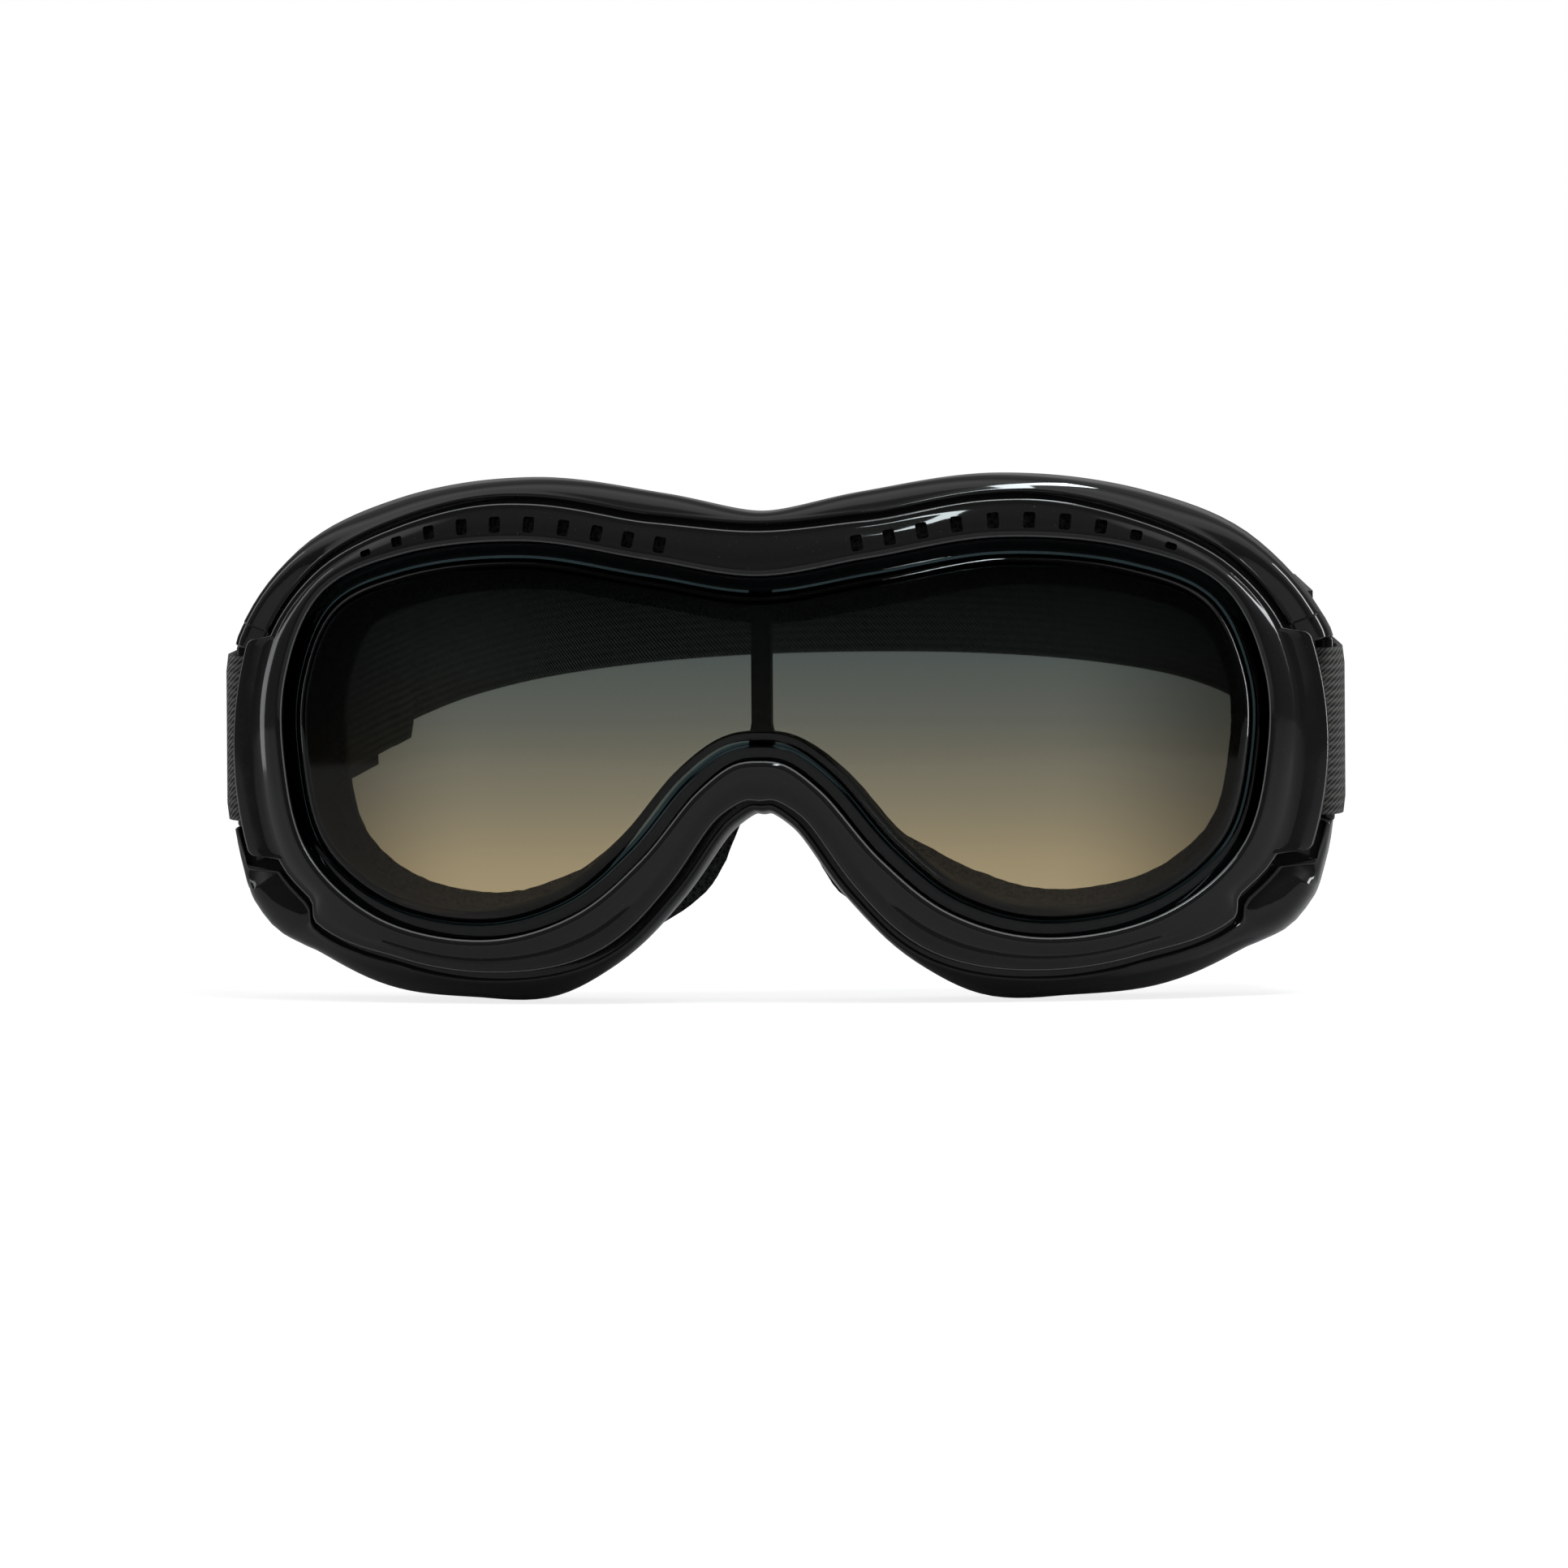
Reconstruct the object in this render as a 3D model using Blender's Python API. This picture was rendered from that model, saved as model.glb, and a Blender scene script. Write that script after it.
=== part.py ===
"""Fit-over goggles: wrap-round lens in a bezel, flared rear shell, foam ring and elastic strap.

Lengths are in millimetres and become metres when a mesh is made. X is the side called left here, Y
runs from the lens back to the strap and Z runs up. The origin is on the lens front, at the top of
the nose arch. The rim is followed from the brow centre (place 0) round one side to the arch (place 1).
"""
import math

import bmesh
import bpy
from mathutils import Matrix, Vector

MM = 0.001
FIT = 0.3  # gap between two pieces that touch

# Lens
LENS_HALF_WIDTH = 74.9
LENS_TOP = 27.4
LENS_BOTTOM = 28.4
LENS_RADIUS = 135.0
LENS_THICKNESS = 2.0
LENS_STEP = 1.8  # the clear window stands this far in front of its flange
LENS_SLOPE = 0.6  # the step's side leans by this much each way
SHOULDER_DROP = 0.3  # rounding of the step's front edge, as a part of the step
FLANGE_SHOWN = 3.0
FLANGE_COVERED = 0.8
# Edge of the window, in parts of its half width and of its height above or below the origin
WINDOW_EDGE = (
    (0.000, 0.788),
    (0.236, 0.887),
    (0.493, 1.000),
    (0.756, 0.938),
    (0.919, 0.752),
    (0.992, 0.325),
    (0.995, -0.106),
    (0.947, -0.574),
    (0.801, -0.894),
    (0.579, -1.000),
    (0.407, -0.873),
    (0.279, -0.602),
    (0.155, -0.222),
    (0.068, -0.056),
    (0.000, -0.028),
)

# Lens seal
SEAL_THICKNESS = 1.0
SEAL_INNER = 0.8  # from the window's edge

# Front bezel: (place on the rim, width outside the window)
BEZEL_BAND = (
    (0.00, 10.1),
    (0.12, 8.8),
    (0.21, 9.0),
    (0.30, 7.4),
    (0.36, 6.4),
    (0.41, 7.8),
    (0.56, 8.4),
    (0.588, 7.7),
    (0.600, 9.8),
    (0.66, 7.9),
    (0.72, 8.2),
    (0.80, 9.8),
    (0.92, 8.1),
    (1.00, 9.3),
)
BEZEL_LIP = 1.0  # thickness where it laps the flange
BEZEL_CREST = 0.9  # width of the rounded lip
BEZEL_CREST_RISE = 0.2  # the crest stands this far in front of the lens front
BEZEL_FALL = 2.4  # the outer edge lies this far behind the lens front
BEZEL_WALL = 1.2
BEZEL_ROUND = 0.7  # rounding of the outer edge
BEZEL_ROUND_DEPTH = 1.0
BEZEL_SEAT_LAP = 0.4  # the inside face lies this far in front of the flange's back
WING_REACH = 12.2  # past the window's half width
WING_BOW = 2.8
WING_TOP = 16.2
WING_BOTTOM = -17.6

# Brow vents
VENT_COUNT = 10
VENT_PITCH = 5.1
VENT_WIDTH = 1.8
VENT_HEIGHT = 2.5
VENT_START = 16.5  # from the brow centre to the first slot, along the rim

# Rear shell: (place on the rim, width outside the window at its widest)
SHELL_BAND = (
    (0.00, 13.4),
    (0.10, 13.8),
    (0.22, 13.2),
    (0.30, 12.5),
    (0.36, 12.1),
    (0.41, 12.8),
    (0.52, 13.0),
    (0.56, 15.3),
    (0.58, 16.4),
    (0.60, 15.5),
    (0.66, 13.3),
    (0.71, 12.4),
    (0.76, 13.6),
    (0.80, 12.7),
    (0.86, 11.5),
    (0.92, 10.7),
    (1.00, 11.4),
)
SHELL_WALL = 2.0
SHELL_SIDE_WALL = 2.3
SHELL_LIP = 1.5  # height of the raised lip round the bezel
SHELL_LIP_LOW = 0.1  # its height where the wing lies over it
SHELL_LIP_GAP = 0.9  # between the bezel's edge and the lip
SHELL_LIP_TOP = 0.7
SHELL_LIP_INSET = 0.9  # the lip stays this far inside the widest line
SEAT_ROOT = 1.4  # from the lip to the back of the seat's root
SEAT_INNER = 0.4  # from the window's edge to the seat
SHELL_PEAK_Y = 10.0  # depth of the widest line at the middle
SHELL_PEAK_WALL = 1.0  # the inside follows the widest line this far behind it
SHELL_REAR_Y = 22.0  # depth of the rear edge at the middle
REAR_CURVE = 0.005  # rear edge and widest line sweep back with the square of the distance out
SHELL_DRAFT = 2.2
LEDGE_INNER = -1.0

# Strap bars, in recesses at the sides of the shell
RECESS_WIDTH = 6.8
RECESS_BOTTOM = -15.2
BAR_INSIDE_WING = 0.8  # the bar's centre lies this far inside the wing's side
BAR_SETBACK = 11.4  # behind the lens sweep at the bar
BAR_DIAMETER = 3.0
BAR_Z = 0.5
BAR_CLEAR = 28.4  # between the ears
EAR_THICKNESS = 2.5
EAR_DEPTH = 7.0
EAR_OUTSIDE = 1.5  # from the bar's centre to the ear's outer face
EAR_ROOT = 3.2  # the ear runs this far into the shell's side
EAR_FAIRING = 4.2  # past the ear, its outer face runs into the shell's side over this height
EAR_FAIRING_BURIED = 0.2  # the fairing ends this far under the shell's surface
EAR_FAIRING_WALL = 1.8

# Foam ring
FOAM_DEPTH = 12.0
FOAM_INNER = 4.0  # it reaches this far inside the window's edge
FOAM_DRAW = 1.1  # its sides are drawn in by this much at the back
FOAM_BELLY = 0.35  # where the sides turn in, as a part of the depth
FOAM_BAND = (
    (0.00, 10.8),
    (0.22, 10.5),
    (0.36, 9.0),
    (0.43, 4.2),
    (0.52, 4.2),
    (0.58, 11.0),
    (0.70, 9.6),
    (0.80, 10.3),
    (0.87, 12.6),
    (0.91, 11.0),
    (0.96, 8.8),
    (1.00, 8.8),
)
FOAM_CROWN = 2.4  # height of the rounded back

# Centre post
POST_WIDTH = 3.0
POST_DEPTH = 4.0
POST_FLARE = 0.9  # each side, at the foot
POST_FLARE_HEIGHT = 3.0

# Strap
STRAP_HALF_WIDTH = 13.0
STRAP_THICKNESS = 1.4
STRAP_RISE = 9.0  # degrees, from the bars to the back
STRAP_LEAN = 9.6  # degrees, inwards along the straight run
STRAP_CUT = 28.0  # the band swings about the bars outside this radius
STRAP_STRAIGHT = 85.0
# Plan of the strap behind the straight run: (from the centre plane, behind the bars)
STRAP_BACK = ((71.6, 102.0), (64.8, 126.0), (53.5, 147.0), (37.0, 162.6), (19.0, 170.8), (0.0, 173.0))
TAIL_END = 78.0

# Strap sliders
SLIDER_PLACE = 56.0
SLIDER_LENGTH = 20.0
SLIDER_RAIL = 2.0
SLIDER_END_BAR = 3.0
SLIDER_MID_BAR = 4.0
SLIDER_PLATE = 1.6
SLIDER_GAP = 0.4  # between bars and webbing
SLIDER_SIDE_GAP = 0.5  # between rails and webbing
SLIDER_LAP = 1.0  # the bars run this far into the rails

# Fineness of the meshes
RIM_STEPS = 42
CURVE_STEPS = 16
BACK_STEPS = 5
FOLD_STEPS = 8
WEBBING_ROWS = 6
NORMAL_REACH = 0.02  # places either side that give the rim's direction
CORNER = 0.003  # the rim turns a sharp corner within this part of its length


# ---- curves ---------------------------------------------------------------------------------------
def smooth_curve(points, steps):
    """A centripetal spline through the points, with level ends where it crosses the centre plane."""
    ends = [(-points[1][0], points[1][1])], [(-points[-2][0], points[-2][1])]
    knots = [Vector(p) for p in ends[0] + list(points) + ends[1]]
    curve = []
    for before, start, end, after in zip(knots, knots[1:], knots[2:], knots[3:]):
        a = math.sqrt((start - before).length)
        b = math.sqrt((end - start).length)
        c = math.sqrt((after - end).length)
        leave = (end - start) + b * ((start - before) / a - (end - before) / (a + b))
        arrive = (end - start) + b * ((after - end) / c - (after - start) / (b + c))
        for k in range(steps):
            t = k / steps
            curve.append(hermite(start, end, leave, arrive, t))
    curve.append(knots[-2])
    return curve


def hermite(start, end, leave, arrive, t):
    left = start * (1 + 2 * t) * (1 - t) ** 2 + leave * t * (1 - t) ** 2
    return left + end * t * t * (3 - 2 * t) + arrive * t * t * (t - 1)


def eased(table, place):
    """The table's value at a place, along a curve that doesn't overshoot its points."""
    place = min(max(place, table[0][0]), table[-1][0])
    k = max(i for i in range(len(table) - 1) if table[i][0] <= place)
    slopes = [(q[1] - p[1]) / (q[0] - p[0]) for p, q in zip(table, table[1:])]

    def tangent(i):
        if i == 0 or i == len(table) - 1 or slopes[i - 1] * slopes[i] <= 0:
            return 0.0
        return 2 * slopes[i - 1] * slopes[i] / (slopes[i - 1] + slopes[i])

    width = table[k + 1][0] - table[k][0]
    t = (place - table[k][0]) / width
    return hermite(table[k][1], table[k + 1][1], tangent(k) * width, tangent(k + 1) * width, t)


class Rim:
    """Half of the window's edge, from the brow centre to the nose arch."""

    def __init__(self):
        points = []
        for across, up in WINDOW_EDGE:
            height = LENS_TOP if up > 0 else LENS_BOTTOM
            points.append((across * LENS_HALF_WIDTH, up * height))
        self.curve = smooth_curve(points, CURVE_STEPS)
        self.run = [0.0]
        for start, end in zip(self.curve, self.curve[1:]):
            self.run.append(self.run[-1] + (end - start).length)
        self.length = self.run[-1]

    def point(self, place):
        along = min(max(place, 0.0), 1.0) * self.length
        k = max(i for i in range(len(self.run) - 1) if self.run[i] <= along)
        t = (along - self.run[k]) / (self.run[k + 1] - self.run[k])
        return self.curve[k].lerp(self.curve[k + 1], t)

    def outward(self, place):
        if place <= 0.0:
            return Vector((0.0, 1.0))
        if place >= 1.0:
            return Vector((0.0, -1.0))
        before = self.mirrored_point(place - NORMAL_REACH)
        after = self.mirrored_point(place + NORMAL_REACH)
        along = (after - before).normalized()
        return Vector((-along.y, along.x))

    def mirrored_point(self, place):
        if place < 0.0:
            p = self.point(-place)
            return Vector((-p.x, p.y))
        if place > 1.0:
            p = self.point(2.0 - place)
            return Vector((-p.x, p.y))
        return self.point(place)

    def offset(self, place, width):
        """(x, z) at a width outside the window's edge."""
        return self.point(place) + self.outward(place) * width

    def place_at_height(self, height, band):
        """The place on the side of the rim where the band's outer edge is at a height."""
        low, high = 0.30, 0.62
        for _ in range(40):
            mid = (low + high) / 2
            if self.offset(mid, eased(band, mid)).y > height:
                low = mid
            else:
                high = mid
        return low


RIM = Rim()
WING_START = RIM.place_at_height(WING_TOP, BEZEL_BAND)
WING_END = RIM.place_at_height(WING_BOTTOM, BEZEL_BAND)
RECESS_END = RIM.place_at_height(RECESS_BOTTOM, SHELL_BAND)
FLANGE_EDGE = FLANGE_SHOWN + FLANGE_COVERED
BAR_X = LENS_HALF_WIDTH + WING_REACH - BAR_INSIDE_WING
RISE = math.radians(STRAP_RISE)
LEAN = math.radians(STRAP_LEAN)


def sweep(x):
    """Depth of the lens front, a cylinder about an upright axis."""
    return LENS_RADIUS - math.sqrt(LENS_RADIUS**2 - x * x)


BAR_Y = sweep(BAR_X) + BAR_SETBACK
PIVOT = Vector((0.0, BAR_Y, BAR_Z))  # on the line through both bars
FLANGE_Y = LENS_STEP  # flange front, behind the lens front
SEAL_Y = FLANGE_Y + LENS_THICKNESS + FIT
SEAT_Y = SEAL_Y + SEAL_THICKNESS + FIT
BEZEL_REAR_Y = SEAT_Y - FIT
BEZEL_SEAT_Y = FLANGE_Y + LENS_THICKNESS - BEZEL_SEAT_LAP


def on_sweep(edge, behind):
    return (edge.x, sweep(edge.x) + behind, edge.y)


def on_rear(edge, depth):
    return (edge.x, depth + REAR_CURVE * edge.x**2, edge.y)


def rim_places():
    """Even steps round the half rim, with pairs of places where an outline turns a corner."""
    sharp = []
    for corner in (WING_START, WING_END + CORNER, RECESS_END):
        sharp += [corner - 2 * CORNER, corner - CORNER, corner, corner + CORNER]
    sharp += [p for p, _ in BEZEL_BAND if 0.58 < p < 0.61]
    even = [k / RIM_STEPS for k in range(RIM_STEPS + 1)]
    return sorted(sharp + [p for p in even if all(abs(p - q) > 1.5 * CORNER for q in sharp)])


PLACES = rim_places()


# ---- meshes ---------------------------------------------------------------------------------------
def finish_object(name, mesh, material, centre=(0.0, 0.0, 0.0), smooth_angle=35.0):
    """Turns the mesh into an object whose origin is at a centre."""
    for vert in mesh.verts:
        vert.co = (vert.co - Vector(centre)) * MM
    bmesh.ops.recalc_face_normals(mesh, faces=mesh.faces)
    data = bpy.data.meshes.new(name)
    mesh.to_mesh(data)
    mesh.free()
    data.materials.append(material)
    data.shade_smooth()
    data.set_sharp_from_angle(angle=math.radians(smooth_angle))
    piece = bpy.data.objects.new(name, data)
    piece.location = Vector(centre) * MM
    bpy.context.scene.collection.objects.link(piece)
    return piece


def empty(name, place):
    """Marks a joint: the pieces that move about it are its children."""
    marker = bpy.data.objects.new(name, None)
    marker.location = Vector(place) * MM
    bpy.context.scene.collection.objects.link(marker)
    return marker


def attach(piece, marker):
    piece.parent = marker
    piece.matrix_local = Matrix.Translation(-marker.location) @ piece.matrix_basis


def bridge(mesh, columns, closed_run, closed_section):
    """Quads between neighbouring columns of vertices."""
    count = len(columns)
    size = len(columns[0])
    for i in range(count if closed_run else count - 1):
        here = columns[i]
        there = columns[(i + 1) % count]
        for j in range(size if closed_section else size - 1):
            k = (j + 1) % size
            mesh.faces.new((here[j], here[k], there[k], there[j]))


def mirrored(points):
    return [(-x, y, z) for x, y, z in points]


def rim_columns(mesh, section):
    """Vertices of a section round the whole rim."""
    half = [section(place) for place in PLACES]
    other = [mirrored(points) for points in reversed(half[1:-1])]
    return [[mesh.verts.new(p) for p in points] for points in half + other]


def rim_ring(name, section, material):
    mesh = bmesh.new()
    bridge(mesh, rim_columns(mesh, section), closed_run=True, closed_section=True)
    return finish_object(name, mesh, material)


def capped_loft(name, sections, material):
    mesh = bmesh.new()
    columns = [[mesh.verts.new(p) for p in points] for points in sections]
    bridge(mesh, columns, closed_run=False, closed_section=True)
    mesh.faces.new(columns[0])
    mesh.faces.new(columns[-1])
    return finish_object(name, mesh, material)


def add_box(mesh, low, high, turn=None):
    """A box between two corners, turned by a matrix when one is given."""
    size = Vector(high) - Vector(low)
    centre = (Vector(high) + Vector(low)) / 2
    place = Matrix.Translation(centre) @ Matrix.Diagonal((*size, 1.0))
    if turn is not None:
        place = turn @ place
    bmesh.ops.create_cube(mesh, size=1.0, matrix=place)


def box_object(name, low, high, material, turn=None):
    mesh = bmesh.new()
    add_box(mesh, low, high, turn)
    return finish_object(name, mesh, material)


def as_cutter(piece):
    piece.hide_render = True
    piece.display_type = "WIRE"
    return piece


def combine(piece, other, operation):
    step = piece.modifiers.new(other.name, "BOOLEAN")
    step.operation = operation
    step.solver = "EXACT"
    step.object = as_cutter(other)


def material(name, colour, roughness, metallic=0.0, alpha=1.0):
    made = bpy.data.materials.new(name)
    made.use_nodes = True
    shader = made.node_tree.nodes["Principled BSDF"]
    shader.inputs["Base Color"].default_value = (*colour, 1.0)
    shader.inputs["Roughness"].default_value = roughness
    shader.inputs["Metallic"].default_value = metallic
    shader.inputs["Alpha"].default_value = alpha
    made.diffuse_color = (*colour, alpha)
    return made


# ---- lens and its seal ----------------------------------------------------------------------------
def lens_section(place):
    front = RIM.offset(place, -LENS_SLOPE)
    shoulder = RIM.offset(place, 0.0)
    foot = RIM.offset(place, LENS_SLOPE)
    edge = RIM.offset(place, FLANGE_EDGE)
    back_foot = RIM.offset(place, -LENS_SLOPE)
    back = RIM.offset(place, -LENS_SLOPE - LENS_STEP / 2)
    return [
        on_sweep(front, 0.0),
        on_sweep(shoulder, LENS_STEP * SHOULDER_DROP),
        on_sweep(foot, FLANGE_Y),
        on_sweep(edge, FLANGE_Y),
        on_sweep(edge, FLANGE_Y + LENS_THICKNESS),
        on_sweep(back_foot, FLANGE_Y + LENS_THICKNESS),
        on_sweep(back, LENS_THICKNESS),
    ]


def fill_window(mesh, ring):
    """Upright strips from the lower edge to the upper edge of a ring of vertices."""
    side = max(range(len(ring)), key=lambda k: ring[k].co.x)
    other = min(range(len(ring)), key=lambda k: ring[k].co.x)
    lower = ring[side : other + 1]
    upper = ring[side::-1] + ring[: other - 1 : -1]
    i = j = 0
    while i < len(lower) - 1 or j < len(upper) - 1:
        next_low = lower[i + 1].co.x if i < len(lower) - 1 else -math.inf
        next_up = upper[j + 1].co.x if j < len(upper) - 1 else -math.inf
        if next_low >= next_up:
            corner = lower[i + 1]
            face = (lower[i], corner, upper[j])
            i += 1
        else:
            corner = upper[j + 1]
            face = (lower[i], corner, upper[j])
            j += 1
        if len(set(face)) == 3:
            mesh.faces.new(face)


def make_lens(finish):
    mesh = bmesh.new()
    columns = rim_columns(mesh, lens_section)
    bridge(mesh, columns, closed_run=True, closed_section=False)
    fill_window(mesh, [column[0] for column in columns])
    fill_window(mesh, [column[-1] for column in columns])
    return finish_object("lens", mesh, finish)


def seal_section(place):
    inner = RIM.offset(place, SEAL_INNER)
    outer = RIM.offset(place, FLANGE_EDGE)
    rear = SEAL_Y + SEAL_THICKNESS
    return [on_sweep(inner, SEAL_Y), on_sweep(outer, SEAL_Y), on_sweep(outer, rear), on_sweep(inner, rear)]


# ---- front bezel ----------------------------------------------------------------------------------
def bezel_edge(place, inset=0.0):
    """The bezel's outer edge, which steps out to the wing at the side."""
    if not WING_START <= place <= WING_END:
        return RIM.offset(place, eased(BEZEL_BAND, place) - inset)
    t = (place - WING_START) / (WING_END - WING_START)
    height = WING_TOP + (WING_BOTTOM - WING_TOP) * t
    bow = WING_BOW * (2 * t - 1) ** 2
    height = min(max(height, WING_BOTTOM + inset), WING_TOP - inset)
    return Vector((LENS_HALF_WIDTH + WING_REACH - bow - inset, height))


def bezel_section(place):
    opening = RIM.offset(place, FLANGE_SHOWN)
    crest = RIM.offset(place, FLANGE_SHOWN + BEZEL_CREST)
    pocket = RIM.offset(place, FLANGE_EDGE + FIT)
    edge = bezel_edge(place)
    inner = bezel_edge(place, BEZEL_WALL)
    shoulder = bezel_edge(place, BEZEL_ROUND)
    return [
        on_sweep(opening, FLANGE_Y - FIT - BEZEL_LIP),
        on_sweep(crest, -BEZEL_CREST_RISE),
        on_sweep(shoulder, BEZEL_FALL - BEZEL_ROUND_DEPTH),
        on_sweep(edge, BEZEL_FALL),
        on_sweep(edge, BEZEL_REAR_Y),
        on_sweep(inner, BEZEL_REAR_Y),
        on_sweep(inner, BEZEL_SEAT_Y),
        on_sweep(pocket, BEZEL_SEAT_Y),
        on_sweep(pocket, FLANGE_Y - FIT),
        on_sweep(opening, FLANGE_Y - FIT),
    ]


def vent_places():
    first = VENT_START / RIM.length
    pitch = VENT_PITCH / RIM.length
    return [first + k * pitch for k in range(VENT_COUNT)]


def make_vent_cutter(finish):
    """One upright slot for each vent, long enough to pass bezel and shell seat."""
    mesh = bmesh.new()
    inner = FLANGE_EDGE + 2 * FIT
    for place in vent_places():
        outer = min(inner + VENT_HEIGHT, eased(BEZEL_BAND, place) - BEZEL_WALL - FIT)
        middle = RIM.offset(place, (inner + outer) / 2)
        direction = RIM.outward(place)
        lean = math.atan2(direction.x, direction.y)
        for side in (1, -1):
            spot = Matrix.Translation((side * middle.x, sweep(middle.x) + SEAT_Y / 2, middle.y))
            turn = spot @ Matrix.Rotation(side * lean, 4, "Y")
            half = Vector((VENT_WIDTH / 2, SEAT_Y, (outer - inner) / 2))
            add_box(mesh, -half, half, turn)
    return finish_object("vent_cutter", mesh, finish)


def filter_section(place):
    inner = RIM.offset(place, FLANGE_EDGE + 2 * FIT)
    outer = RIM.offset(place, eased(BEZEL_BAND, place) - BEZEL_WALL - FIT)
    front = BEZEL_SEAT_Y + FIT
    rear = SEAT_Y - FIT
    return [on_sweep(inner, front), on_sweep(outer, front), on_sweep(outer, rear), on_sweep(inner, rear)]


def make_filter(name, side, finish):
    first = vent_places()[0] - VENT_PITCH / RIM.length
    last = vent_places()[-1] + VENT_PITCH / RIM.length
    steps = 2 * VENT_COUNT
    sections = [filter_section(first + (last - first) * k / steps) for k in range(steps + 1)]
    if side < 0:
        sections = [mirrored(points) for points in sections]
    return capped_loft(name, sections, finish)


# ---- rear shell -----------------------------------------------------------------------------------
def in_recess(place):
    return WING_START <= place < RECESS_END


def under_wing(place):
    return WING_START - 1.5 * CORNER < place < WING_END + 1.5 * CORNER


def shell_width(place):
    return RECESS_WIDTH if in_recess(place) else eased(SHELL_BAND, place)


def shell_section(place):
    widest = shell_width(place)
    lip = min(eased(BEZEL_BAND, place) + SHELL_LIP_GAP, widest - SHELL_LIP_TOP - SHELL_LIP_INSET)
    lip_y = SEAT_Y - (SHELL_LIP_LOW if under_wing(place) else SHELL_LIP)
    seat_root = min(lip - SEAT_ROOT, widest - SHELL_SIDE_WALL)
    rear = widest - SHELL_DRAFT
    seat_inner = RIM.offset(place, SEAT_INNER)
    return [
        on_sweep(seat_inner, SEAT_Y),
        on_sweep(RIM.offset(place, lip), SEAT_Y),
        on_sweep(RIM.offset(place, lip), lip_y),
        on_sweep(RIM.offset(place, lip + SHELL_LIP_TOP), lip_y),
        on_rear(RIM.offset(place, widest), SHELL_PEAK_Y),
        on_rear(RIM.offset(place, rear), SHELL_REAR_Y),
        on_rear(RIM.offset(place, LEDGE_INNER), SHELL_REAR_Y),
        on_rear(RIM.offset(place, LEDGE_INNER), SHELL_REAR_Y - SHELL_WALL),
        on_rear(RIM.offset(place, rear - SHELL_WALL), SHELL_REAR_Y - SHELL_WALL),
        on_rear(RIM.offset(place, widest - SHELL_SIDE_WALL), SHELL_PEAK_Y + SHELL_PEAK_WALL),
        on_sweep(RIM.offset(place, seat_root), SEAT_Y + SHELL_WALL),
        on_sweep(seat_inner, SEAT_Y + SHELL_WALL),
    ]


def make_strap_bar(name, side, finish):
    """The upright bar that the strap turns round, held between two ears."""
    mesh = bmesh.new()
    bar = Matrix.Translation((side * BAR_X, BAR_Y, BAR_Z))
    length = BAR_CLEAR + EAR_THICKNESS
    bmesh.ops.create_cone(
        mesh,
        cap_ends=True,
        segments=12,
        radius1=BAR_DIAMETER / 2,
        radius2=BAR_DIAMETER / 2,
        depth=length,
        matrix=bar,
    )
    return finish_object(name, mesh, finish)


def make_ear(name, side, end, finish):
    """A lug above or below the bar, faired into the shell's side away from the strap."""
    inside = LENS_HALF_WIDTH + RECESS_WIDTH - EAR_ROOT
    outside = BAR_X + EAR_OUTSIDE
    near = BAR_Z + end * BAR_CLEAR / 2
    far = near + end * EAR_THICKNESS
    fair = far + end * EAR_FAIRING
    place = RIM.place_at_height(fair, SHELL_BAND)
    meets = RIM.offset(place, shell_width(place)).x - EAR_FAIRING_BURIED
    profile = (
        (inside, near),
        (outside, near),
        (outside, far),
        (meets, fair),
        (meets - EAR_FAIRING_WALL, fair),
        (meets - EAR_FAIRING_WALL, far),
        (inside, far),
    )
    mesh = bmesh.new()
    ends = []
    for y in (BAR_Y - EAR_DEPTH / 2, BAR_Y + EAR_DEPTH / 2):
        ends.append([mesh.verts.new((side * x, y, z)) for x, z in profile])
    for loop in ends:
        mesh.faces.new(loop)
    for k in range(len(profile)):
        following = (k + 1) % len(profile)
        mesh.faces.new((ends[0][k], ends[0][following], ends[1][following], ends[1][k]))
    return finish_object(name, mesh, finish)


def make_shell(finish, vents):
    shell = rim_ring("rear_shell", shell_section, finish)
    for side, hand in ((1, "left"), (-1, "right")):
        for end, level in ((1, "upper"), (-1, "lower")):
            combine(shell, make_ear(f"{hand}_{level}_ear", side, end, finish), "UNION")
        combine(shell, make_strap_bar(f"{hand}_bar", side, finish), "UNION")
    combine(shell, vents, "DIFFERENCE")
    return shell


# ---- foam ring and centre post --------------------------------------------------------------------
def foam_section(place):
    outer = eased(FOAM_BAND, place)
    inner = -FOAM_INNER
    front = SHELL_REAR_Y + FIT
    belly = front + FOAM_DEPTH * FOAM_BELLY
    shoulder = front + FOAM_DEPTH - FOAM_CROWN
    back = front + FOAM_DEPTH
    third = (outer - inner) / 3
    return [
        on_rear(RIM.offset(place, inner), front),
        on_rear(RIM.offset(place, outer), front),
        on_rear(RIM.offset(place, outer - FOAM_DRAW / 2), belly),
        on_rear(RIM.offset(place, outer - FOAM_DRAW), shoulder),
        on_rear(RIM.offset(place, outer - third), back),
        on_rear(RIM.offset(place, inner + third), back),
        on_rear(RIM.offset(place, inner + FOAM_DRAW), shoulder),
        on_rear(RIM.offset(place, inner + FOAM_DRAW / 2), belly),
    ]


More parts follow.
